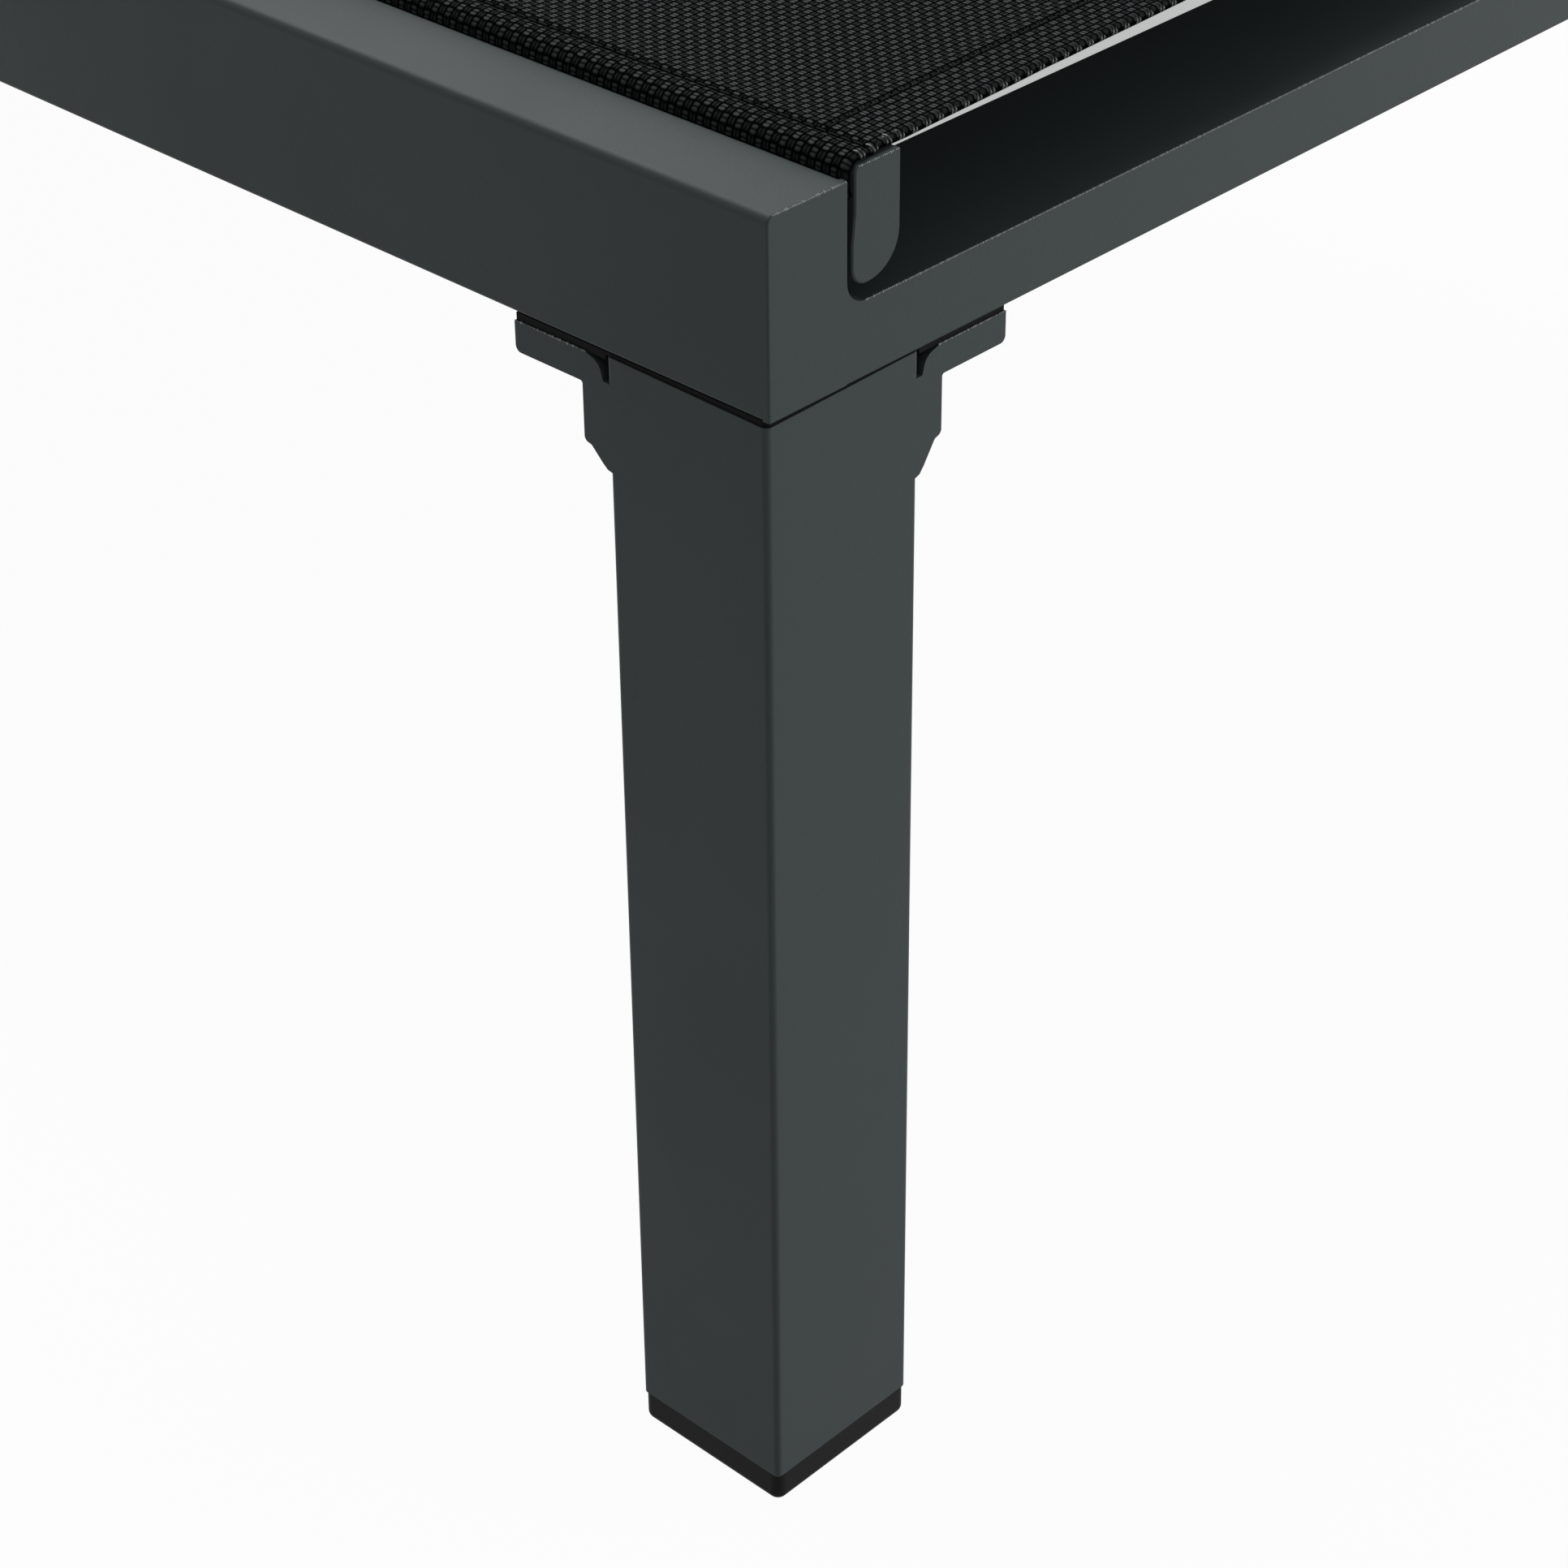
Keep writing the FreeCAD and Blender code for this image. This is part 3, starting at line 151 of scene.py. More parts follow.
def group(name, inputs, outputs):
    """An empty shader node group with its sockets; returns (tree, wires, input node, output node)."""
    tree = bpy.data.node_groups.new(name, "ShaderNodeTree")
    for label, kind, value in inputs:
        socket = tree.interface.new_socket(label, in_out="INPUT", socket_type=kind)
        socket.default_value = value
    for label, kind in outputs:
        tree.interface.new_socket(label, in_out="OUTPUT", socket_type=kind)
    wires = Wires(tree)
    return tree, wires, wires.node("NodeGroupInput"), wires.node("NodeGroupOutput")


def material(name):
    """A new node material; returns (material, wires, shader)."""
    m = bpy.data.materials.new(name)
    m.use_nodes = True
    m.node_tree.nodes.clear()
    wires = Wires(m.node_tree)
    shader = wires.node("ShaderNodeBsdfPrincipled")
    wires.node("ShaderNodeOutputMaterial", {"Surface": shader.outputs[0]})
    return m, wires, shader


# ---- Shared effects ------------------------------------------------------------------------------
def make_coat_grain():
    """Fine pebbled grain of powder coat or moulded plastic, with slow changes of tone."""
    tree, w, i, o = group(
        "coat_grain",
        [("Grain Size", "NodeSocketFloat", 0.0008), ("Tone Size", "NodeSocketFloat", 0.06)],
        [("Height", "NodeSocketFloat"), ("Tone", "NodeSocketFloat"), ("Speck", "NodeSocketFloat")])
    place = w.node("ShaderNodeTexCoord").outputs["Object"]
    fine = w.math("DIVIDE", 1.0, i.outputs["Grain Size"])
    slow = w.math("DIVIDE", 1.0, i.outputs["Tone Size"])
    peel = w.node("ShaderNodeTexNoise", {"Vector": place, "Scale": fine, "Detail": 2.0, "Roughness": 0.45})
    cloud = w.node("ShaderNodeTexNoise", {"Vector": place, "Scale": slow, "Detail": 4.0, "Roughness": 0.6})
    specks_per_grain = 0.55
    speck_edge, speck_core = 0.10, 0.04
    sparse = w.math("MULTIPLY", fine, specks_per_grain)
    dots = w.node("ShaderNodeTexVoronoi", {"Vector": place, "Scale": sparse})
    speck = w.remap(dots.outputs["Distance"], speck_edge, speck_core)
    w.put(o.inputs["Height"], peel.outputs[0])
    w.put(o.inputs["Tone"], cloud.outputs[0])
    w.put(o.inputs["Speck"], speck)
    return tree


def make_basket_weave():
    """Pairs of round yarns that cross over and under each other, laid out on the piece's own UV map.

    The lengthwise pairs stand proud in short humps and the crosswise ones lie lower and flatter.
    """
    tree, w, i, o = group(
        "basket_weave",
        [("Warp Pitch", "NodeSocketFloat", 0.002), ("Weft Pitch", "NodeSocketFloat", 0.002),
         ("Unevenness", "NodeSocketFloat", 0.0004)],
        [("Height", "NodeSocketFloat"), ("Shade", "NodeSocketFloat"), ("Yarn Tone", "NodeSocketFloat"),
         ("Crown", "NodeSocketFloat")])
    wobbles_per_metre = 260.0
    yarn_power, hump_power = 0.6, 0.55  # lower is flatter: round a yarn, and along a pair's hump
    yarn_base, yarn_rise = 0.25, 0.75  # of the height: the least, and what the yarn's round adds
    lengthwise_base, lengthwise_rise = 0.15, 0.85  # and the same along a pair's hump
    crosswise_base, crosswise_rise = 0.2, 0.4
    hole, top = 0.08, 0.5  # heights between which the painted shade goes from the hole's dark to the yarn's colour
    crown_start, crown_end = 0.5, 0.9
    edge_dark, edge_clear = 0.03, 0.26  # shares of a pair in from its side, between which its painted shade fades out
    end_clear, end_shade = 0.26, 0.1  # share in from where it dips under, and the painted shade there
    uv = w.node("ShaderNodeUVMap", uv_map="UVMap").outputs[0]
    wobble = w.node("ShaderNodeTexNoise", {"Vector": uv, "Scale": wobbles_per_metre, "Detail": 2.0})
    push = w.node("ShaderNodeVectorMath", {0: wobble.outputs["Color"], 1: (0.5, 0.5, 0.5)},
                  operation="SUBTRACT")
    slack = w.node("ShaderNodeVectorMath", {0: push.outputs[0], "Scale": i.outputs["Unevenness"]},
                   operation="SCALE")
    moved = w.node("ShaderNodeVectorMath", {0: uv, 1: slack.outputs[0]}, operation="ADD")
    axes = w.node("ShaderNodeSeparateXYZ", {0: moved.outputs[0]})
    cell = [w.math("DIVIDE", axes.outputs[0], i.outputs["Warp Pitch"]),
            w.math("DIVIDE", axes.outputs[1], i.outputs["Weft Pitch"])]
    index = [w.math("FLOOR", c) for c in cell]
    part = [w.math("FRACT", c) for c in cell]
    turn = w.math("FRACT", w.math("MULTIPLY", w.math("ADD", index[0], index[1]), 0.5))
    crosswise = w.math("GREATER_THAN", turn, 0.25)
    across = w.mix_value(crosswise, part[0], part[1])
    along = w.mix_value(crosswise, part[1], part[0])
    row = w.mix_value(crosswise, index[0], index[1])
    two = w.math("MULTIPLY", across, 2.0)
    ridge = w.math("POWER", w.math("SINE", w.math("MULTIPLY", w.math("FRACT", two), math.pi)), yarn_power)
    arch = w.math("POWER", w.math("SINE", w.math("MULTIPLY", along, math.pi)), hump_power)
    swell = w.mix_value(crosswise,
                        w.math("ADD", w.math("MULTIPLY", arch, lengthwise_rise), lengthwise_base),
                        w.math("ADD", w.math("MULTIPLY", arch, crosswise_rise), crosswise_base))
    height = w.math("MULTIPLY", w.math("ADD", w.math("MULTIPLY", ridge, yarn_rise), yarn_base), swell)
    # Painted shade: the weave goes darker towards the holes, beside each pair's sides and where a pair dips
    # under the other; it comes out as Shade.
    lit = w.remap(height, hole, top)
    to_edge = w.math("MINIMUM", across, w.math("SUBTRACT", 1.0, across))
    to_end = w.math("MINIMUM", along, w.math("SUBTRACT", 1.0, along))
    beside = w.remap(to_edge, edge_dark, edge_clear)
    below = w.remap(to_end, 0.0, end_clear, end_shade, 1.0)
    shade = w.math("MULTIPLY", w.math("MULTIPLY", lit, beside), below)
    yarn = w.math("ADD", row, w.math("FLOOR", two))
    which = w.node("ShaderNodeCombineXYZ", {0: yarn, 1: crosswise, 2: 0.0})
    spread = w.node("ShaderNodeTexWhiteNoise", {"Vector": which.outputs[0]}, noise_dimensions="3D")
    w.put(o.inputs["Height"], height)
    w.put(o.inputs["Shade"], shade)
    w.put(o.inputs["Yarn Tone"], spread.outputs["Value"])
    # Crown marks the yarns' tops; the cloth's material gives them coat gloss and a painted highlight of
    # lighter colour.
    w.put(o.inputs["Crown"], w.remap(height, crown_start, crown_end))
    return tree


COAT_GRAIN = make_coat_grain()
BASKET_WEAVE = make_basket_weave()


# ---- Materials -----------------------------------------------------------------------------------
def grained(name, colour, dark, light, roughness, grain_size, grain_depth, specular, metallic=0.0):
    """A satin surface with fine grain and slow changes of tone."""
    plain_share = 0.5  # of the plain colour in the changing one
    speck_brightness, speck_share = 2.2, 0.25
    m, w, shader = material(name)
    grain = w.node("ShaderNodeGroup", node_tree=COAT_GRAIN)
    grain.inputs["Grain Size"].default_value = grain_size
    tint = w.mix_colour(grain.outputs["Tone"], (*dark, 1), (*light, 1))
    tint = w.mix_colour(plain_share, tint, (*colour, 1))
    speck_tint = tuple(c * speck_brightness for c in light)
    tint = w.mix_colour(w.math("MULTIPLY", grain.outputs["Speck"], speck_share), tint, (*speck_tint, 1))
    w.put(shader.inputs["Base Color"], tint)
    rough = w.remap(grain.outputs["Tone"], 0.3, 0.7, roughness - 0.05, roughness + 0.06)
    w.put(shader.inputs["Roughness"], rough)
    bump = w.node("ShaderNodeBump", {"Height": grain.outputs["Height"], "Strength": 1.0,
                                     "Distance": grain_depth})
    w.put(shader.inputs["Normal"], bump.outputs[0])
    shader.inputs["Metallic"].default_value = metallic
    shader.inputs["Specular IOR Level"].default_value = specular
    return m


def woven(name, yarn, painted_hole_shade, crown):
    """Coated mesh cloth: satin round yarns in pairs, glossy and with a painted highlight on their crowns,
    with painted shade in the holes between them and along its seams and folds.
    """
    most_gloss = 0.25
    hole_roughness, yarn_roughness = 0.9, 0.45
    weave_depth = 0.55 * MM
    tone_share, light_yarn = 0.5, 1.5  # how far the yarns' tones spread towards the lightest one
    painted_shade_tone = 1.5  # of the painted shade on seams, folds and beside the rails, against the holes' dark
    painted_shade_dark = 0.93  # how far the painted shade on a seam, fold or beside a rail goes to its dark tone
    m, w, shader = material(name)
    weave = w.node("ShaderNodeGroup", node_tree=BASKET_WEAVE)
    weave.inputs["Warp Pitch"].default_value = warp_pitch
    weave.inputs["Weft Pitch"].default_value = weft_pitch
    tone = w.math("MULTIPLY", weave.outputs["Yarn Tone"], tone_share)
    tint = w.mix_colour(tone, (*yarn, 1), (*[c * light_yarn for c in yarn], 1))
    # Painted highlight: a lighter colour on the yarns' crowns.
    tint = w.mix_colour(weave.outputs["Crown"], tint, (*crown, 1))
    # Painted shade: near black in the holes and valleys between the yarns.
    tint = w.mix_colour(weave.outputs["Shade"], (*painted_hole_shade, 1), tint)
    # Painted shade from the mesh's own attribute: along the seams, on the folds and beside the side rails.
    painted_shade = w.node("ShaderNodeAttribute", attribute_name="painted_shade").outputs["Fac"]
    painted_shade_tint = [c * painted_shade_tone for c in painted_hole_shade]
    tint = w.mix_colour(w.math("MULTIPLY", painted_shade, painted_shade_dark), tint, (*painted_shade_tint, 1))
    w.put(shader.inputs["Base Color"], tint)
    rough = w.remap(weave.outputs["Shade"], 0.0, 1.0, hole_roughness, yarn_roughness)
    w.put(shader.inputs["Roughness"], rough)
    bump = w.node("ShaderNodeBump", {"Height": weave.outputs["Height"], "Strength": 1.0,
                                     "Distance": weave_depth})
    w.put(shader.inputs["Normal"], bump.outputs[0])
    shader.inputs["Specular IOR Level"].default_value = 0.0
    gloss = w.remap(weave.outputs["Crown"], 0.0, 1.0, 0.0, most_gloss)
    # No coat gloss under the painted shade.
    out_of_painted_shade = w.math("SUBTRACT", 1.0, painted_shade)
    w.put(shader.inputs["Coat Weight"], w.math("MULTIPLY", gloss, out_of_painted_shade))
    shader.inputs["Coat Roughness"].default_value = 0.35
    return m


frame_coating = grained(
    "frame_coating", (0.0385, 0.0482, 0.0482), (0.035, 0.0445, 0.0445), (0.042, 0.052, 0.052),
    roughness=0.46, grain_size=0.9 * MM, grain_depth=0.028 * MM, specular=0.12)
# A much lighter grey than the frame's coat, for the grains on the edges: a painted highlight.
painted_edge_highlight = grained(
    "painted_edge_highlight", (0.26, 0.28, 0.28), (0.15, 0.17, 0.17), (0.42, 0.44, 0.44),
    roughness=0.3, grain_size=0.3 * MM, grain_depth=0.02 * MM, specular=0.5)
black_plastic = grained(
    "black_plastic", (0.0075, 0.0085, 0.0075), (0.006, 0.007, 0.006), (0.0095, 0.0105, 0.0092),
    roughness=0.55, grain_size=0.6 * MM, grain_depth=0.05 * MM, specular=0.06)
bush_plastic = grained(
    "bush_plastic", (0.02, 0.02, 0.02), (0.016, 0.016, 0.016), (0.03, 0.03, 0.03),
    roughness=0.42, grain_size=1.5 * MM, grain_depth=0.02 * MM, specular=0.5)
cord_plastic = grained(
    "cord_plastic", (0.012, 0.012, 0.012), (0.01, 0.01, 0.01), (0.016, 0.016, 0.016),
    roughness=0.4, grain_size=1.5 * MM, grain_depth=0.02 * MM, specular=0.5)
# A darker copy of the black plastic, for the leg's top plugs in the gap under the frame: painted shade.
plug_in_painted_shade = grained(
    "plug_in_painted_shade", (0.0035, 0.004, 0.0035), (0.003, 0.0033, 0.003), (0.0055, 0.006, 0.0055),
    roughness=0.6, grain_size=0.6 * MM, grain_depth=0.05 * MM, specular=0.05)
black_rubber = grained(
    "black_rubber", (0.014, 0.014, 0.014), (0.011, 0.011, 0.011), (0.02, 0.02, 0.02),
    roughness=0.75, grain_size=0.5 * MM, grain_depth=0.05 * MM, specular=0.3)
stainless_steel = grained(
    "stainless_steel", (0.55, 0.55, 0.53), (0.48, 0.48, 0.46), (0.62, 0.62, 0.60),
    roughness=0.3, grain_size=0.5 * MM, grain_depth=0.012 * MM, specular=0.5, metallic=1.0)
# The crown colour is a painted highlight on the yarns' tops, and the near-black hole colour is painted shade.
sling_cloth = woven(
    "sling_cloth", yarn=(0.0200, 0.0230, 0.0228), painted_hole_shade=(0.0006, 0.0008, 0.0007), crown=(0.040, 0.0455, 0.0465))
thread = grained(
    "thread", (0.003, 0.0034, 0.0034), (0.002, 0.0023, 0.0023), (0.006, 0.0065, 0.0065),
    roughness=0.5, grain_size=0.4 * MM, grain_depth=0.05 * MM, specular=0.04)
# A lighter copy of the cloth's yarn colour, for the loops along the folds: partly a painted highlight, with
# real gloss.
fold_yarn_painted_highlight = grained(
    "fold_yarn_painted_highlight", (0.026, 0.029, 0.029), (0.014, 0.016, 0.016), (0.042, 0.047, 0.047),
    roughness=0.2, grain_size=0.5 * MM, grain_depth=0.02 * MM, specular=0.5)
FINISHES = {"frame_coating": frame_coating, "rack_metal": frame_coating, "black_plastic": black_plastic,
            "bush_plastic": bush_plastic, "cord_plastic": cord_plastic, "black_rubber": black_rubber,
            "stainless_steel": stainless_steel, "sling_cloth": sling_cloth}


def finish_cad_nodes():
    """Gives every carried-over node its procedural finish."""
    for part in frame["record"]["subparts"]:
        node = frame["nodes"][part["node"]]
        for slot in node.material_slots:
            slot.material = FINISHES[part["material_slot"]]
    # The leg's top plugs get the darker plastic: painted shade in the gap under the frame.
    for slot in frame["nodes"]["leg_top_plugs"].material_slots:
        slot.material = plug_in_painted_shade


# ---- Mesh helpers --------------------------------------------------------------------------------
def add_piece(name, mesh, finish):
    """A finished mesh as a piece in the scene, smooth shaded."""
    piece = bpy.data.objects.new(name, mesh)
    bpy.context.scene.collection.objects.link(piece)
    if finish:
        mesh.materials.clear()
        mesh.materials.append(finish)
    for polygon in mesh.polygons:
        polygon.use_smooth = True
    return piece


def baked(piece):
    """The piece with its modifiers turned into a plain mesh."""
    bpy.context.view_layer.update()
    evaluated = piece.evaluated_get(bpy.context.evaluated_depsgraph_get())
    mesh = bpy.data.meshes.new_from_object(evaluated)
    mesh.name = piece.name
    piece.modifiers.clear()
    old = piece.data
    piece.data = mesh
    bpy.data.meshes.remove(old)
    return piece


def polyline(name, paths):
    """A mesh of open polylines, as the guide of a row of repeats."""
    mesh = bpy.data.meshes.new(name)
    points, edges = [], []
    for path in paths:
        start = len(points)
        points += [tuple(p) for p in path]
        edges += [(start + k, start + k + 1) for k in range(len(path) - 1)]
    mesh.from_pydata(points, edges, [])
    return mesh


def row_tree(name, inputs, make_unit):
    """A Geometry Nodes tree that sets a unit every Pitch along the guide, X along the path and Z up.

    Out of every four units the last two are made to Low Size, and each is uneven by up to Spread.
    """
    turn, full_share = 4.0, 0.45
    tree = bpy.data.node_groups.new(name, "GeometryNodeTree")
    tree.interface.new_socket("Geometry", in_out="INPUT", socket_type="NodeSocketGeometry")
    for label, value in inputs.items():
        kind = "NodeSocketMaterial" if label == "Finish" else "NodeSocketFloat"
        socket = tree.interface.new_socket(label, in_out="INPUT", socket_type=kind)
        socket.default_value = value
    tree.interface.new_socket("Geometry", in_out="OUTPUT", socket_type="NodeSocketGeometry")
    w = Wires(tree)
    i = w.node("NodeGroupInput")
    o = w.node("NodeGroupOutput")
    curve = w.node("GeometryNodeMeshToCurve", {"Mesh": i.outputs["Geometry"]})
    points = w.node("GeometryNodeCurveToPoints", {"Curve": curve.outputs[0], "Length": i.outputs["Pitch"]},
                    mode="LENGTH")
    facing = w.node("FunctionNodeAlignRotationToVector", {"Vector": points.outputs["Tangent"]}, axis="X",
                    pivot_axis="Z")
    count = w.node("GeometryNodeInputIndex").outputs[0]
    unit = make_unit(w, i)
    full_size = w.math("LESS_THAN", w.math("FRACT", w.math("DIVIDE", count, turn)), full_share)
    size = w.mix_value(full_size, i.outputs["Low Size"], 1.0)
    least = w.math("SUBTRACT", 1.0, i.outputs["Spread"])
    most = w.math("ADD", 1.0, i.outputs["Spread"])
    uneven = w.node("FunctionNodeRandomValue", {2: least, 3: most, "Seed": 7})
    size = w.math("MULTIPLY", size, uneven.outputs[1])
    scale = w.node("ShaderNodeCombineXYZ", {0: 1.0, 1: size, 2: size})
    placed = w.node("GeometryNodeInstanceOnPoints", {
        "Points": points.outputs["Points"], "Instance": unit, "Rotation": facing.outputs[0],
        "Scale": scale.outputs[0]})
    real = w.node("GeometryNodeRealizeInstances", {0: placed.outputs[0]})
    done = w.node("GeometryNodeSetMaterial", {"Geometry": real.outputs[0], "Material": i.outputs["Finish"]})
    w.put(o.inputs[0], done.outputs[0])
    return tree


def rod_along_x(w, i):
    """A short thread that bows up at its middle."""
    bow = 0.9  # of the thread's radius
    half = w.math("MULTIPLY", i.outputs["Length"], 0.5)
    start = w.node("ShaderNodeCombineXYZ", {0: w.math("MULTIPLY", half, -1.0), 1: 0.0, 2: 0.0})
    end = w.node("ShaderNodeCombineXYZ", {0: half, 1: 0.0, 2: 0.0})
    rise = w.math("MULTIPLY", i.outputs["Radius"], bow)
    middle = w.node("ShaderNodeCombineXYZ", {0: 0.0, 1: 0.0, 2: rise})
    path = w.node("GeometryNodeCurveQuadraticBezier", {"Resolution": 5, "Start": start.outputs[0],
                                                       "Middle": middle.outputs[0], "End": end.outputs[0]})
    ring = w.node("GeometryNodeCurvePrimitiveCircle", {"Resolution": 6, "Radius": i.outputs["Radius"]})
    body = w.node("GeometryNodeCurveToMesh", {"Curve": path.outputs[0], "Profile Curve": ring.outputs[0],
                                              "Fill Caps": True})
    return body.outputs[0]


def half_loop(w, i):
    """A yarn that turns back under itself at a folded edge, bulging towards -Y."""
    flatness = 1.6  # wide against high
    set_back = 0.37 * MM  # of the loop's middle behind the fold's
    bend = w.node("GeometryNodeCurveArc", {"Resolution": 7, "Radius": i.outputs["Bend Radius"],
                                           "Start Angle": math.radians(62), "Sweep Angle": math.radians(225)})
    ring = w.node("GeometryNodeCurvePrimitiveCircle", {"Resolution": 6, "Radius": i.outputs["Radius"]})
    body = w.node("GeometryNodeCurveToMesh", {"Curve": bend.outputs[0], "Profile Curve": ring.outputs[0],
                                              "Fill Caps": True})
    turned = w.node("GeometryNodeTransform", {"Geometry": body.outputs[0], "Scale": (flatness, 1.0, 1.0),
                                              "Translation": (0.0, set_back, 0.0),
                                              "Rotation": (math.radians(90), 0.0, math.radians(90))})
    return turned.outputs[0]


def weld_scale(w, i):
    """One ripple of a weld bead, tilted along the run."""
    squash = (0.55, 1.0, 0.8)  # along the run, across it and up
    tilt = math.radians(25)
    ball = w.node("GeometryNodeMeshUVSphere", {"Segments": 10, "Rings": 6, "Radius": i.outputs["Radius"]})
    flat = w.node("GeometryNodeTransform", {"Geometry": ball.outputs[0], "Scale": squash,
                                            "Rotation": (0.0, tilt, 0.0)})
    return flat.outputs[0]


def speck(w, i):
    """A light grain that paints a highlight on an edge."""
    return w.node("GeometryNodeMeshIcoSphere", {"Radius": i.outputs["Radius"], "Subdivisions": 1}).outputs[0]


ROW_TREES = {
    "stitches": row_tree("stitches", {
        "Pitch": stitch_pitch, "Length": 2.2 * MM, "Radius": thread_radius,
        "Low Size": 1.0, "Spread": 0.1, "Finish": thread}, rod_along_x),
    "fold_loops": row_tree("fold_loops", {
        "Pitch": warp_pitch / 2, "Bend Radius": 0.68 * MM, "Radius": yarn_radius,
        "Low Size": 0.72, "Spread": 0.06, "Finish": fold_yarn_painted_highlight}, half_loop),
    "weld_ripples": row_tree("weld_ripples", {
        "Pitch": 1.7 * MM, "Radius": 1.1 * MM,
        "Low Size": 0.9, "Spread": 0.15, "Finish": frame_coating}, weld_scale),
    # Light grey grains along the edges: a painted highlight.
    "edge_highlight_specks": row_tree("edge_highlight_specks", {
        "Pitch": 0.5 * MM, "Radius": 0.2 * MM,
        "Low Size": 0.6, "Spread": 0.6, "Finish": painted_edge_highlight}, speck),
}


def row_of(tree_name, piece_name, paths):
    """A piece made of repeats along paths."""
    piece = add_piece(piece_name, polyline(piece_name, paths), None)
    piece.modifiers.new(tree_name, "NODES").node_group = ROW_TREES[tree_name]
    baked(piece)
    for polygon in piece.data.polygons:
        polygon.use_smooth = True
    return piece


# ---- Slings --------------------------------------------------------------------------------------
def smooth_step(value):
    """0 to 1 with soft ends."""
    value = max(0.0, min(1.0, value))
    return value * value * (3 - 2 * value)


class Sling:
    """A stretched cloth between two sling rails: its side hems, its folded free ends and their seams."""

    seam_step = 0.35 * MM  # of the mesh across a side seam
    seam_steps = range(-4, 7)
    past_seam = 3.6 * MM  # from a side seam to where the mesh is coarse
    end_steps = [0.8] * 12 + [0.25] * 14 + [1.0, 2.0]  # of the mesh in from a fold, fine at its seam, in mm
    fold_parts = 8

    def __init__(self, name, node, rail, body):
        self.name = name
        self.node = node
        self.rail = rail
        self.body = body
        low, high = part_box(node)
        self.y0 = low[1]
        self.y1 = high[1]
        self.half_span = -seat_rail_high[0]
        self.flat_z = sling_top_z + cloth_lift + cloth_thickness / 2
        self.seam_x = rail_inner_x + side_seam_from_rail
        self.length = self.y1 - self.y0 + 2 * (fold_front - fold_radius - cloth_thickness / 2)
        self.section = self.make_section()
        self.rows = self.make_rows()

    def make_section(self):
        """(x, z, distance across, inward normal) of the cloth's middle, from one groove to the other."""
        half = [(rail_inner_x + x * MM, sling_top_z + z * MM) for x, z in side_hem]
        half += [(self.seam_x + k * self.seam_step, self.flat_z) for k in self.seam_steps]
        end = self.seam_x + self.past_seam
        count = round(-2 * end / cloth_step)
        middle = [(end - 2 * end * k / count, self.flat_z) for k in range(count + 1)]
        points = half + middle + [(-x, z) for x, z in reversed(half)]
        across = 0.0
        section = []
        for k, (x, z) in enumerate(points):
            before = points[max(0, k - 1)]
            after = points[min(len(points) - 1, k + 1)]
            if k:
                across += math.hypot(x - before[0], z - before[1])
            run = math.hypot(after[0] - before[0], after[1] - before[1])
            inward = ((after[1] - before[1]) / run, -(after[0] - before[0]) / run)
            # Between the two side hems the cloth is flat
            if len(side_hem) - 1 <= k < len(points) - len(side_hem) + 1:
                inward = (0.0, -1.0)
            section.append((x, z, across, inward))
        return section

    def make_rows(self):
        """(distance from the near fold's middle, depth under the top layer, distance along the cut cloth)."""
        r = fold_radius
        n = self.fold_parts
        turns = [math.pi * k / n for k in range(1, n)]
        under = [(under_reach - under_reach * k / (n - 1), 2 * r) for k in range(n)]
        bend = [(-r * math.sin(turn), r * (1 + math.cos(turn))) for turn in turns]
        top = [(sum(self.end_steps[:k]) * MM, 0.0) for k in range(len(self.end_steps) + 1)]
        near = under + bend + top
        start = top[-1][0]
        reach = self.length - 2 * start
        count = round(reach / cloth_step)
        middle = [(start + reach * k / count, 0.0) for k in range(1, count)]
        points = near + middle + [(self.length - d, depth) for d, depth in reversed(near)]
        along = 0.0
        rows = []
        for k, (d, depth) in enumerate(points):
            if k:
                along += math.hypot(d - points[k - 1][0], depth - points[k - 1][1])
            rows.append((d, depth, along))
        return rows

    def relief(self, x, z, from_end):
        """Height of the top layer over its section: end hems stand up, seams sink in and the middle sags."""
        touching = 0.01 * MM
        below_top, top_run = 1.0 * MM, 1.5 * MM  # the relief starts under the rail's top and grows over this
        beside_seam = self.seam_x + abs(x)
        layer = cloth_thickness + cloth_lift
        on_side = smooth_step(beside_seam / seam_run_out + 1)
        on_end = smooth_step((hem_width - from_end) / seam_run_out + 1)
        sewn = max(on_side, on_end)
        lift = layer * sewn if abs(z - self.flat_z) < touching else 0.0
        sink = seam_sink * self.press(x, from_end)
        share = min(1.0, abs(x) / self.half_span)
        sag = cloth_sag * (1 - share * share)
        slow = noise.noise(Vector((x * slow_pucker, from_end * slow_pucker, self.y0)))
        fast = noise.noise(Vector((x * fast_pucker, from_end * fast_pucker, self.y1)))
        above_rail = smooth_step((z - (sling_top_z - below_top)) / top_run)
        return (lift - sink + pucker * (slow + 0.5 * fast) * sewn) * above_rail - sag

    def place(self, x, z, inward, d, depth):
        """A point of the cloth's middle surface."""
        share = abs(x) / self.half_span
        inset = hem_curve * (1 - share * share)
        start = self.y0 - fold_front + fold_radius + cloth_thickness / 2
        kept = max(0.0, min(d, self.length - d))
        side = 1 if d < self.length / 2 else -1
        loose = 1 - smooth_step(kept / (self.length / 2))
        y = start + d + side * inset * loose
        height = self.relief(x, z, kept)
        depth *= 1 + fold_droop * smooth_step((self.half_span - abs(x)) / fold_droop_run)
        return Vector((x + inward[0] * depth, y, z + height + inward[1] * depth))

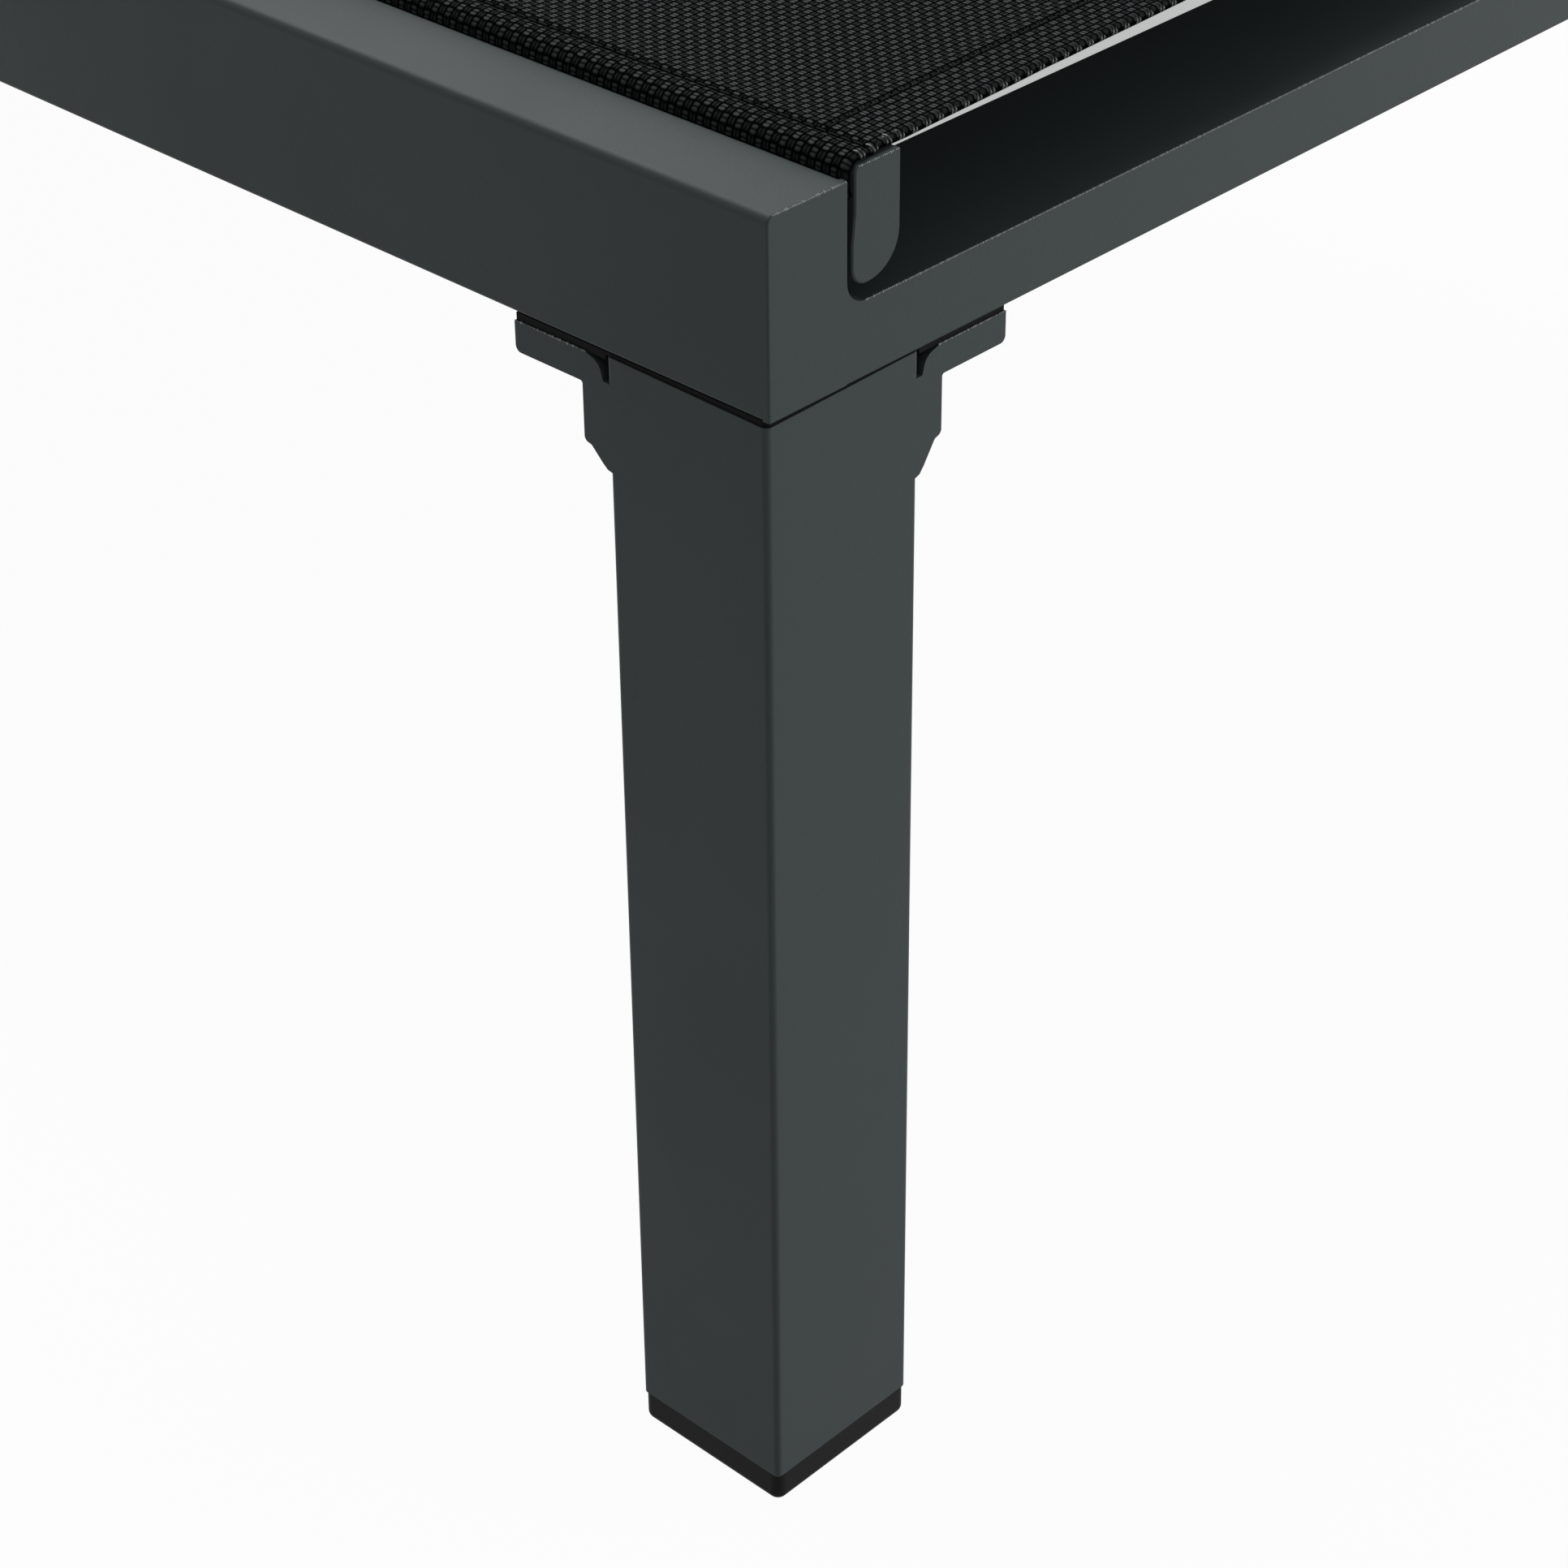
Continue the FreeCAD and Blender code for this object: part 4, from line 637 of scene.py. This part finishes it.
    def make_cloth(self):
        """The sheet itself, with a UV map in metres for its weave and an attribute of painted shade."""
        mesh = bpy.data.meshes.new(self.name)
        points = [self.place(x, z, inward, d, depth) for d, depth, _ in self.rows
                  for x, z, _, inward in self.section]
        wide = len(self.section)
        faces = []
        for r in range(len(self.rows) - 1):
            for c in range(wide - 1):
                a = r * wide + c
                faces.append((a, a + 1, a + 1 + wide, a + wide))
        mesh.from_pydata([tuple(p) for p in points], [], faces)
        uv = mesh.uv_layers.new(name="UVMap")
        for polygon in mesh.polygons:
            for loop in polygon.loop_indices:
                vertex = mesh.loops[loop].vertex_index
                uv.data[loop].uv = (self.section[vertex % wide][2], self.rows[vertex // wide][2])
        mesh.validate()
        # Painted shade, read by the cloth's material: darker along the seams, beside the side rails and where
        # the cloth turns under at the folds.
        painted_shade = mesh.attributes.new("painted_shade", "FLOAT", "POINT")
        for vertex, value in enumerate(painted_shade.data):
            d, depth, _ = self.rows[vertex // wide]
            x = self.section[vertex % wide][0]
            from_end = min(d, self.length - d)
            sewn = self.press(x, from_end) if depth == 0.0 else 0.0
            value.value = max(sewn, self.shade_beside_rail(x), self.shade_on_fold(from_end))
        piece = add_piece(self.name, mesh, sling_cloth)
        thick = piece.modifiers.new("thickness", "SOLIDIFY")
        thick.thickness = cloth_thickness
        thick.offset = 0.0
        return baked(piece)

    def shade_beside_rail(self, x):
        """How much painted shade the cloth gets where it rises beside the side rail and rounds the sling
        rail's shoulder.
        """
        # Lengths here are millimetres in from the side rail's inner face
        beside_dark, beside_end, beside_fade = 0.12, 6.0, 1.5
        shoulder_dark, shoulder_start, shoulder_end, shoulder_fade = 0.3, 1.2, 3.5, 3.0
        inward = (-abs(x) - rail_inner_x) / MM
        beside = 1 - smooth_step((inward - beside_end) / beside_fade)
        shoulder = smooth_step(inward / shoulder_start)
        shoulder *= 1 - smooth_step((inward - shoulder_end) / shoulder_fade)
        return beside_dark * beside + shoulder_dark * shoulder

    def shade_on_fold(self, from_end):
        """How much painted shade the cloth gets where it turns under at a free end."""
        turn_dark, turn_run = 0.45, 0.6 * MM
        return turn_dark * (1 - smooth_step(from_end / turn_run))

    def press(self, x, from_end):
        """1 where a seam pulls the top layer down, fading to 0 beside it; it also marks the painted shade
        along the seams.
        """
        share = abs(abs(x) + self.seam_x) / side_seam_half_width
        if abs(x) < -self.seam_x:
            share = min(share, abs(hem_width - from_end) / end_seam_half_width)
        return 1 - smooth_step(share - 0.5)

    def on_top(self, x, d, rise):
        """A point on the flat part of the cloth, rise above its middle surface."""
        return self.place(x, self.flat_z, (0.0, -1.0), d, -rise)

    def seam_paths(self):
        """Guides on the cloth's top for the rows of stitches."""
        sunk = 0.1 * MM
        rise = cloth_thickness / 2 - sunk
        long_parts, end_parts = 500, 200
        rows = [self.length * k / long_parts for k in range(1, long_parts)]
        across = [self.seam_x * (1 - 2 * k / end_parts) for k in range(1, end_parts)]
        paths = [[self.on_top(x, d, rise) for d in rows] for x in (self.seam_x, -self.seam_x)]
        paths += [[self.on_top(x, d, rise) for x in across] for d in (hem_width, self.length - hem_width)]
        return paths

    def fold_paths(self):
        """Guides of the folded ends, run so that the fold's outside is on their right."""
        parts = 400
        past_seam = 3.0 * MM
        start = self.seam_x - past_seam
        across = [start - 2 * start * k / parts for k in range(parts + 1)]
        near = [self.on_top(x, 0.0, -fold_radius) for x in across]
        far = [self.on_top(x, self.length, -fold_radius) for x in reversed(across)]
        return [near, far]

    def build(self):
        """The cloth with its folds and stitches, riding on its body."""
        cloth = self.make_cloth()
        stitches = row_of("stitches", self.name + "_stitches", self.seam_paths())
        loops = row_of("fold_loops", self.name + "_fold_loops", self.fold_paths())
        for piece in (cloth, stitches, loops):
            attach(piece, self.body)
        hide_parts(self.node)


# ---- Welds ---------------------------------------------------------------------------------------
def make_welds():
    """Rippled beads on the welds that run out below the leg brackets."""
    bracket_thickness = 6.5 * MM
    bracket_width = 20.0 * MM
    end_weld, side_weld = 7.1 * MM, 4.6 * MM  # heights of an end bracket's weld and a side bracket's
    margin = 1.2 * MM  # from a bracket's side to a bead's end
    # Shares of the bracket's thickness and of the weld's height: where the weld's face starts, and its run
    out_at_top, out_lost = 0.72, 0.65
    fall_at_top, fall_gained = 0.08, 0.84
    sunk_in, sunk_up = 0.75 * MM, 0.45 * MM  # from the weld's face to a bead's middle
    parts = 10
    leg_low, leg_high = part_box("leg_foot_right")
    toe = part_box("leg_brackets_foot_right")[0][2] + end_weld
    y0, y1 = leg_low[1] + margin, leg_low[1] + bracket_width - margin
    x0, x1 = leg_low[0] + margin, leg_low[0] + bracket_width - margin
    paths = []
    for sx in (1, -1):
        for sy in (1, -1):
            for share in (0.2, 0.5, 0.8):
                out = bracket_thickness * (out_at_top - out_lost * share) - sunk_in
                fall = fall_at_top + fall_gained * share
                z_end = toe - end_weld * fall + sunk_up
                z_side = toe - side_weld * fall + sunk_up
                paths.append([Vector((sx * (leg_high[0] + out), sy * (y0 + (y1 - y0) * k / parts), z_end))
                              for k in range(parts + 1)])
                paths.append([Vector((sx * (x0 + (x1 - x0) * k / parts), sy * (leg_high[1] + out), z_side))
                              for k in range(parts + 1)])
    welds = row_of("weld_ripples", "bracket_weld_ripples", paths)
    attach(welds, "frame")


# ---- Painted highlight grains on the edges -------------------------------------------------------
def line(start, end, parts=12):
    """Points on a straight line."""
    return [start.lerp(end, k / parts) for k in range(parts + 1)]


def make_painted_edge_highlights():
    """Light grains along the end rails' top edges, the rails' closed ends and the brackets' sawn ears: their
    light grey is a painted highlight on these edges.
    """
    inset = 0.13 * MM  # of a row from its edge
    end_rail_height = 15.5 * MM
    weld_reach = 5.2 * MM  # of the corner welds along an end rail's top
    rail_round, cap_round = 1.6 * MM, 1.9 * MM  # from a side or sling rail's outer face to its level top
    rail_short, cap_short = 0.3 * MM, 0.6 * MM  # a row stops this far from the inner face
    heel_reach = 5.6 * MM  # from a leg's face to where a bracket's ear is flat
    ear_short = 0.3 * MM  # a row stops this far from the ear's tip
    ear_sides = (0.1 * MM, 19.9 * MM)  # from the leg's outer faces
    end_rail_parts = 40
    end_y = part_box("foot_end_rail")[0][1] + inset
    rail_top = frame_bottom_z + end_rail_height - inset
    frame_top = side_rail_high[2] - inset
    cap_top = sling_top_z - inset
    leg_low, leg_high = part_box("leg_foot_right")
    bracket_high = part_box("leg_brackets_foot_right")[1]
    both_ends = [line(Vector((rail_inner_x + weld_reach, end_y, rail_top)),
                      Vector((-rail_inner_x - weld_reach, end_y, rail_top)), end_rail_parts)]
    both_ends += [line(Vector((sx * (side_rail_low[0] + rail_round), end_y, frame_top)),
                       Vector((sx * (rail_inner_x - rail_short), end_y, frame_top))) for sx in (1, -1)]
    paths = both_ends + [[Vector((p.x, -p.y, p.z)) for p in path] for path in both_ends]
    ear = bracket_high[2]
    for sx in (1, -1):
        paths.append(line(Vector((sx * (seat_rail_low[0] + cap_round), end_y, cap_top)),
                          Vector((sx * (seat_rail_high[0] - cap_short), end_y, cap_top))))
        for sy in (1, -1):
            for side in ear_sides:
                y = sy * (leg_low[1] + side)
                paths.append(line(Vector((sx * (leg_high[0] + heel_reach), y, ear)),
                                  Vector((sx * (bracket_high[0] - ear_short), y, ear))))
                x = sx * (leg_low[0] + side)
                paths.append(line(Vector((x, sy * (leg_high[1] + heel_reach), ear)),
                                  Vector((x, sy * (bracket_high[1] - ear_short), ear))))
    grains = row_of("edge_highlight_specks", "painted_edge_highlights", paths)
    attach(grains, "frame")


# ---- Stage, light and camera ---------------------------------------------------------------------
def floor_colour_with_painted_shadow(w, place):
    """White, with a soft round patch of painted shadow in grey on it, under the seat's side on the sitter's
    left.
    """
    centre = (0.32, -0.42)
    half_size = (0.27, 0.21)
    core = 0.58  # share of the half size where the painted shadow is at its full grey
    white, grey = (0.99, 0.99, 0.99, 1), (0.515, 0.53, 0.52, 1)
    spot = w.node("ShaderNodeSeparateXYZ", {0: place})
    off = [w.math("DIVIDE", w.math("SUBTRACT", spot.outputs[k], centre[k]), half_size[k]) for k in (0, 1)]
    squares = [w.math("MULTIPLY", side, side) for side in off]
    away = w.math("SQRT", w.math("ADD", squares[0], squares[1]))
    return w.mix_colour(w.remap(away, core, 1.0, 1.0, 0.0, "SMOOTHSTEP"), white, grey)


def make_stage():
    """A pale floor that keeps a soft shadow, and carries a round patch of painted shadow in its colour."""
    reach = 12.0
    white_share = 0.975  # of the plain white in what is seen, over the lit floor
    mesh = bpy.data.meshes.new("floor")
    mesh.from_pydata([(-reach, -reach, 0), (reach, -reach, 0), (reach, reach, 0), (-reach, reach, 0)], [],
                     [(0, 1, 2, 3)])
    floor = bpy.data.objects.new("floor", mesh)
    bpy.context.scene.collection.objects.link(floor)
    m = bpy.data.materials.new("pale_floor")
    m.use_nodes = True
    m.node_tree.nodes.clear()
    w = Wires(m.node_tree)
    place = w.node("ShaderNodeTexCoord").outputs["Object"]
    cloud = w.node("ShaderNodeTexNoise", {"Vector": place, "Scale": 3.0, "Detail": 2.0})
    tint = w.mix_colour(cloud.outputs[0], (0.70, 0.70, 0.70, 1), (0.72, 0.72, 0.72, 1))
    matt = w.node("ShaderNodeBsdfDiffuse", {"Color": tint})
    glow = w.node("ShaderNodeEmission", {"Color": floor_colour_with_painted_shadow(w, place), "Strength": 1.0})
    share = w.math("MULTIPLY", w.seen(), white_share)
    mixed = w.node("ShaderNodeMixShader", {0: share, 1: matt.outputs[0], 2: glow.outputs[0]})
    w.node("ShaderNodeOutputMaterial", {"Surface": mixed.outputs[0]})
    mesh.materials.append(m)


def make_world():
    """White to the eye and in gloss, plain grey as light."""
    light_level, seen_level = 0.25, 0.984
    world = bpy.data.worlds.new("surround")
    bpy.context.scene.world = world
    world.use_nodes = True
    world.node_tree.nodes.clear()
    w = Wires(world.node_tree)
    level = w.mix_value(w.seen(), light_level, seen_level)
    light = w.node("ShaderNodeBackground", {"Color": (1, 1, 1, 1), "Strength": level})
    w.node("ShaderNodeOutputWorld", {"Surface": light.outputs[0]})


def area_light(name, place, aim, size, watts):
    """A square white soft box that faces a point."""
    data = bpy.data.lights.new(name, "AREA")
    data.size = size
    data.energy = watts
    lamp = bpy.data.objects.new(name, data)
    lamp.location = place
    lamp.rotation_euler = (Vector(aim) - Vector(place)).to_track_quat("-Z", "Y").to_euler()
    bpy.context.scene.collection.objects.link(lamp)


def make_camera():
    """Looks down at the foot end's corner on the sitter's right."""
    from_corner = Vector((-0.44056, -0.42420, 0.28761))
    corner = Vector((side_rail_low[0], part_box("foot_end_rail")[0][1], side_rail_high[2]))
    data = bpy.data.cameras.new("camera")
    data.sensor_width = 36.0
    data.lens = 88.72
    data.shift_x = 0.0031
    data.shift_y = 0.0022
    data.clip_start = 0.01
    camera = bpy.data.objects.new("camera", data)
    heading, tilt, roll = math.radians(-46.19), math.radians(33.57), math.radians(-0.563)
    turn = Matrix.Rotation(heading, 4, "Z") @ Matrix.Rotation(math.pi / 2 - tilt, 4, "X")
    turn = turn @ Matrix.Rotation(roll, 4, "Z")
    camera.matrix_world = Matrix.Translation(corner + from_corner) @ turn
    bpy.context.scene.collection.objects.link(camera)
    bpy.context.scene.camera = camera


# ---- Build ---------------------------------------------------------------------------------------
finish_cad_nodes()
Sling("seat_cloth", "seat_sling", "seat_rail", "frame").build()
Sling("back_cloth", "back_sling", "back_rail", "backrest").build()
make_welds()
make_painted_edge_highlights()
make_stage()
make_world()
area_light("top_box", place=(0.4, 0.6, 2.6), aim=(0.0, -0.4, 0.3), size=2.4, watts=72.0)
area_light("right_box", place=(1.3, -2.6, 0.55), aim=(0.0, -0.8, 0.2), size=1.4, watts=38.0)
area_light("left_box", place=(-2.2, -0.9, 0.7), aim=(-0.2, -0.8, 0.2), size=1.2, watts=0.5)
make_camera()
bpy.context.scene.view_settings.view_transform = "Standard"
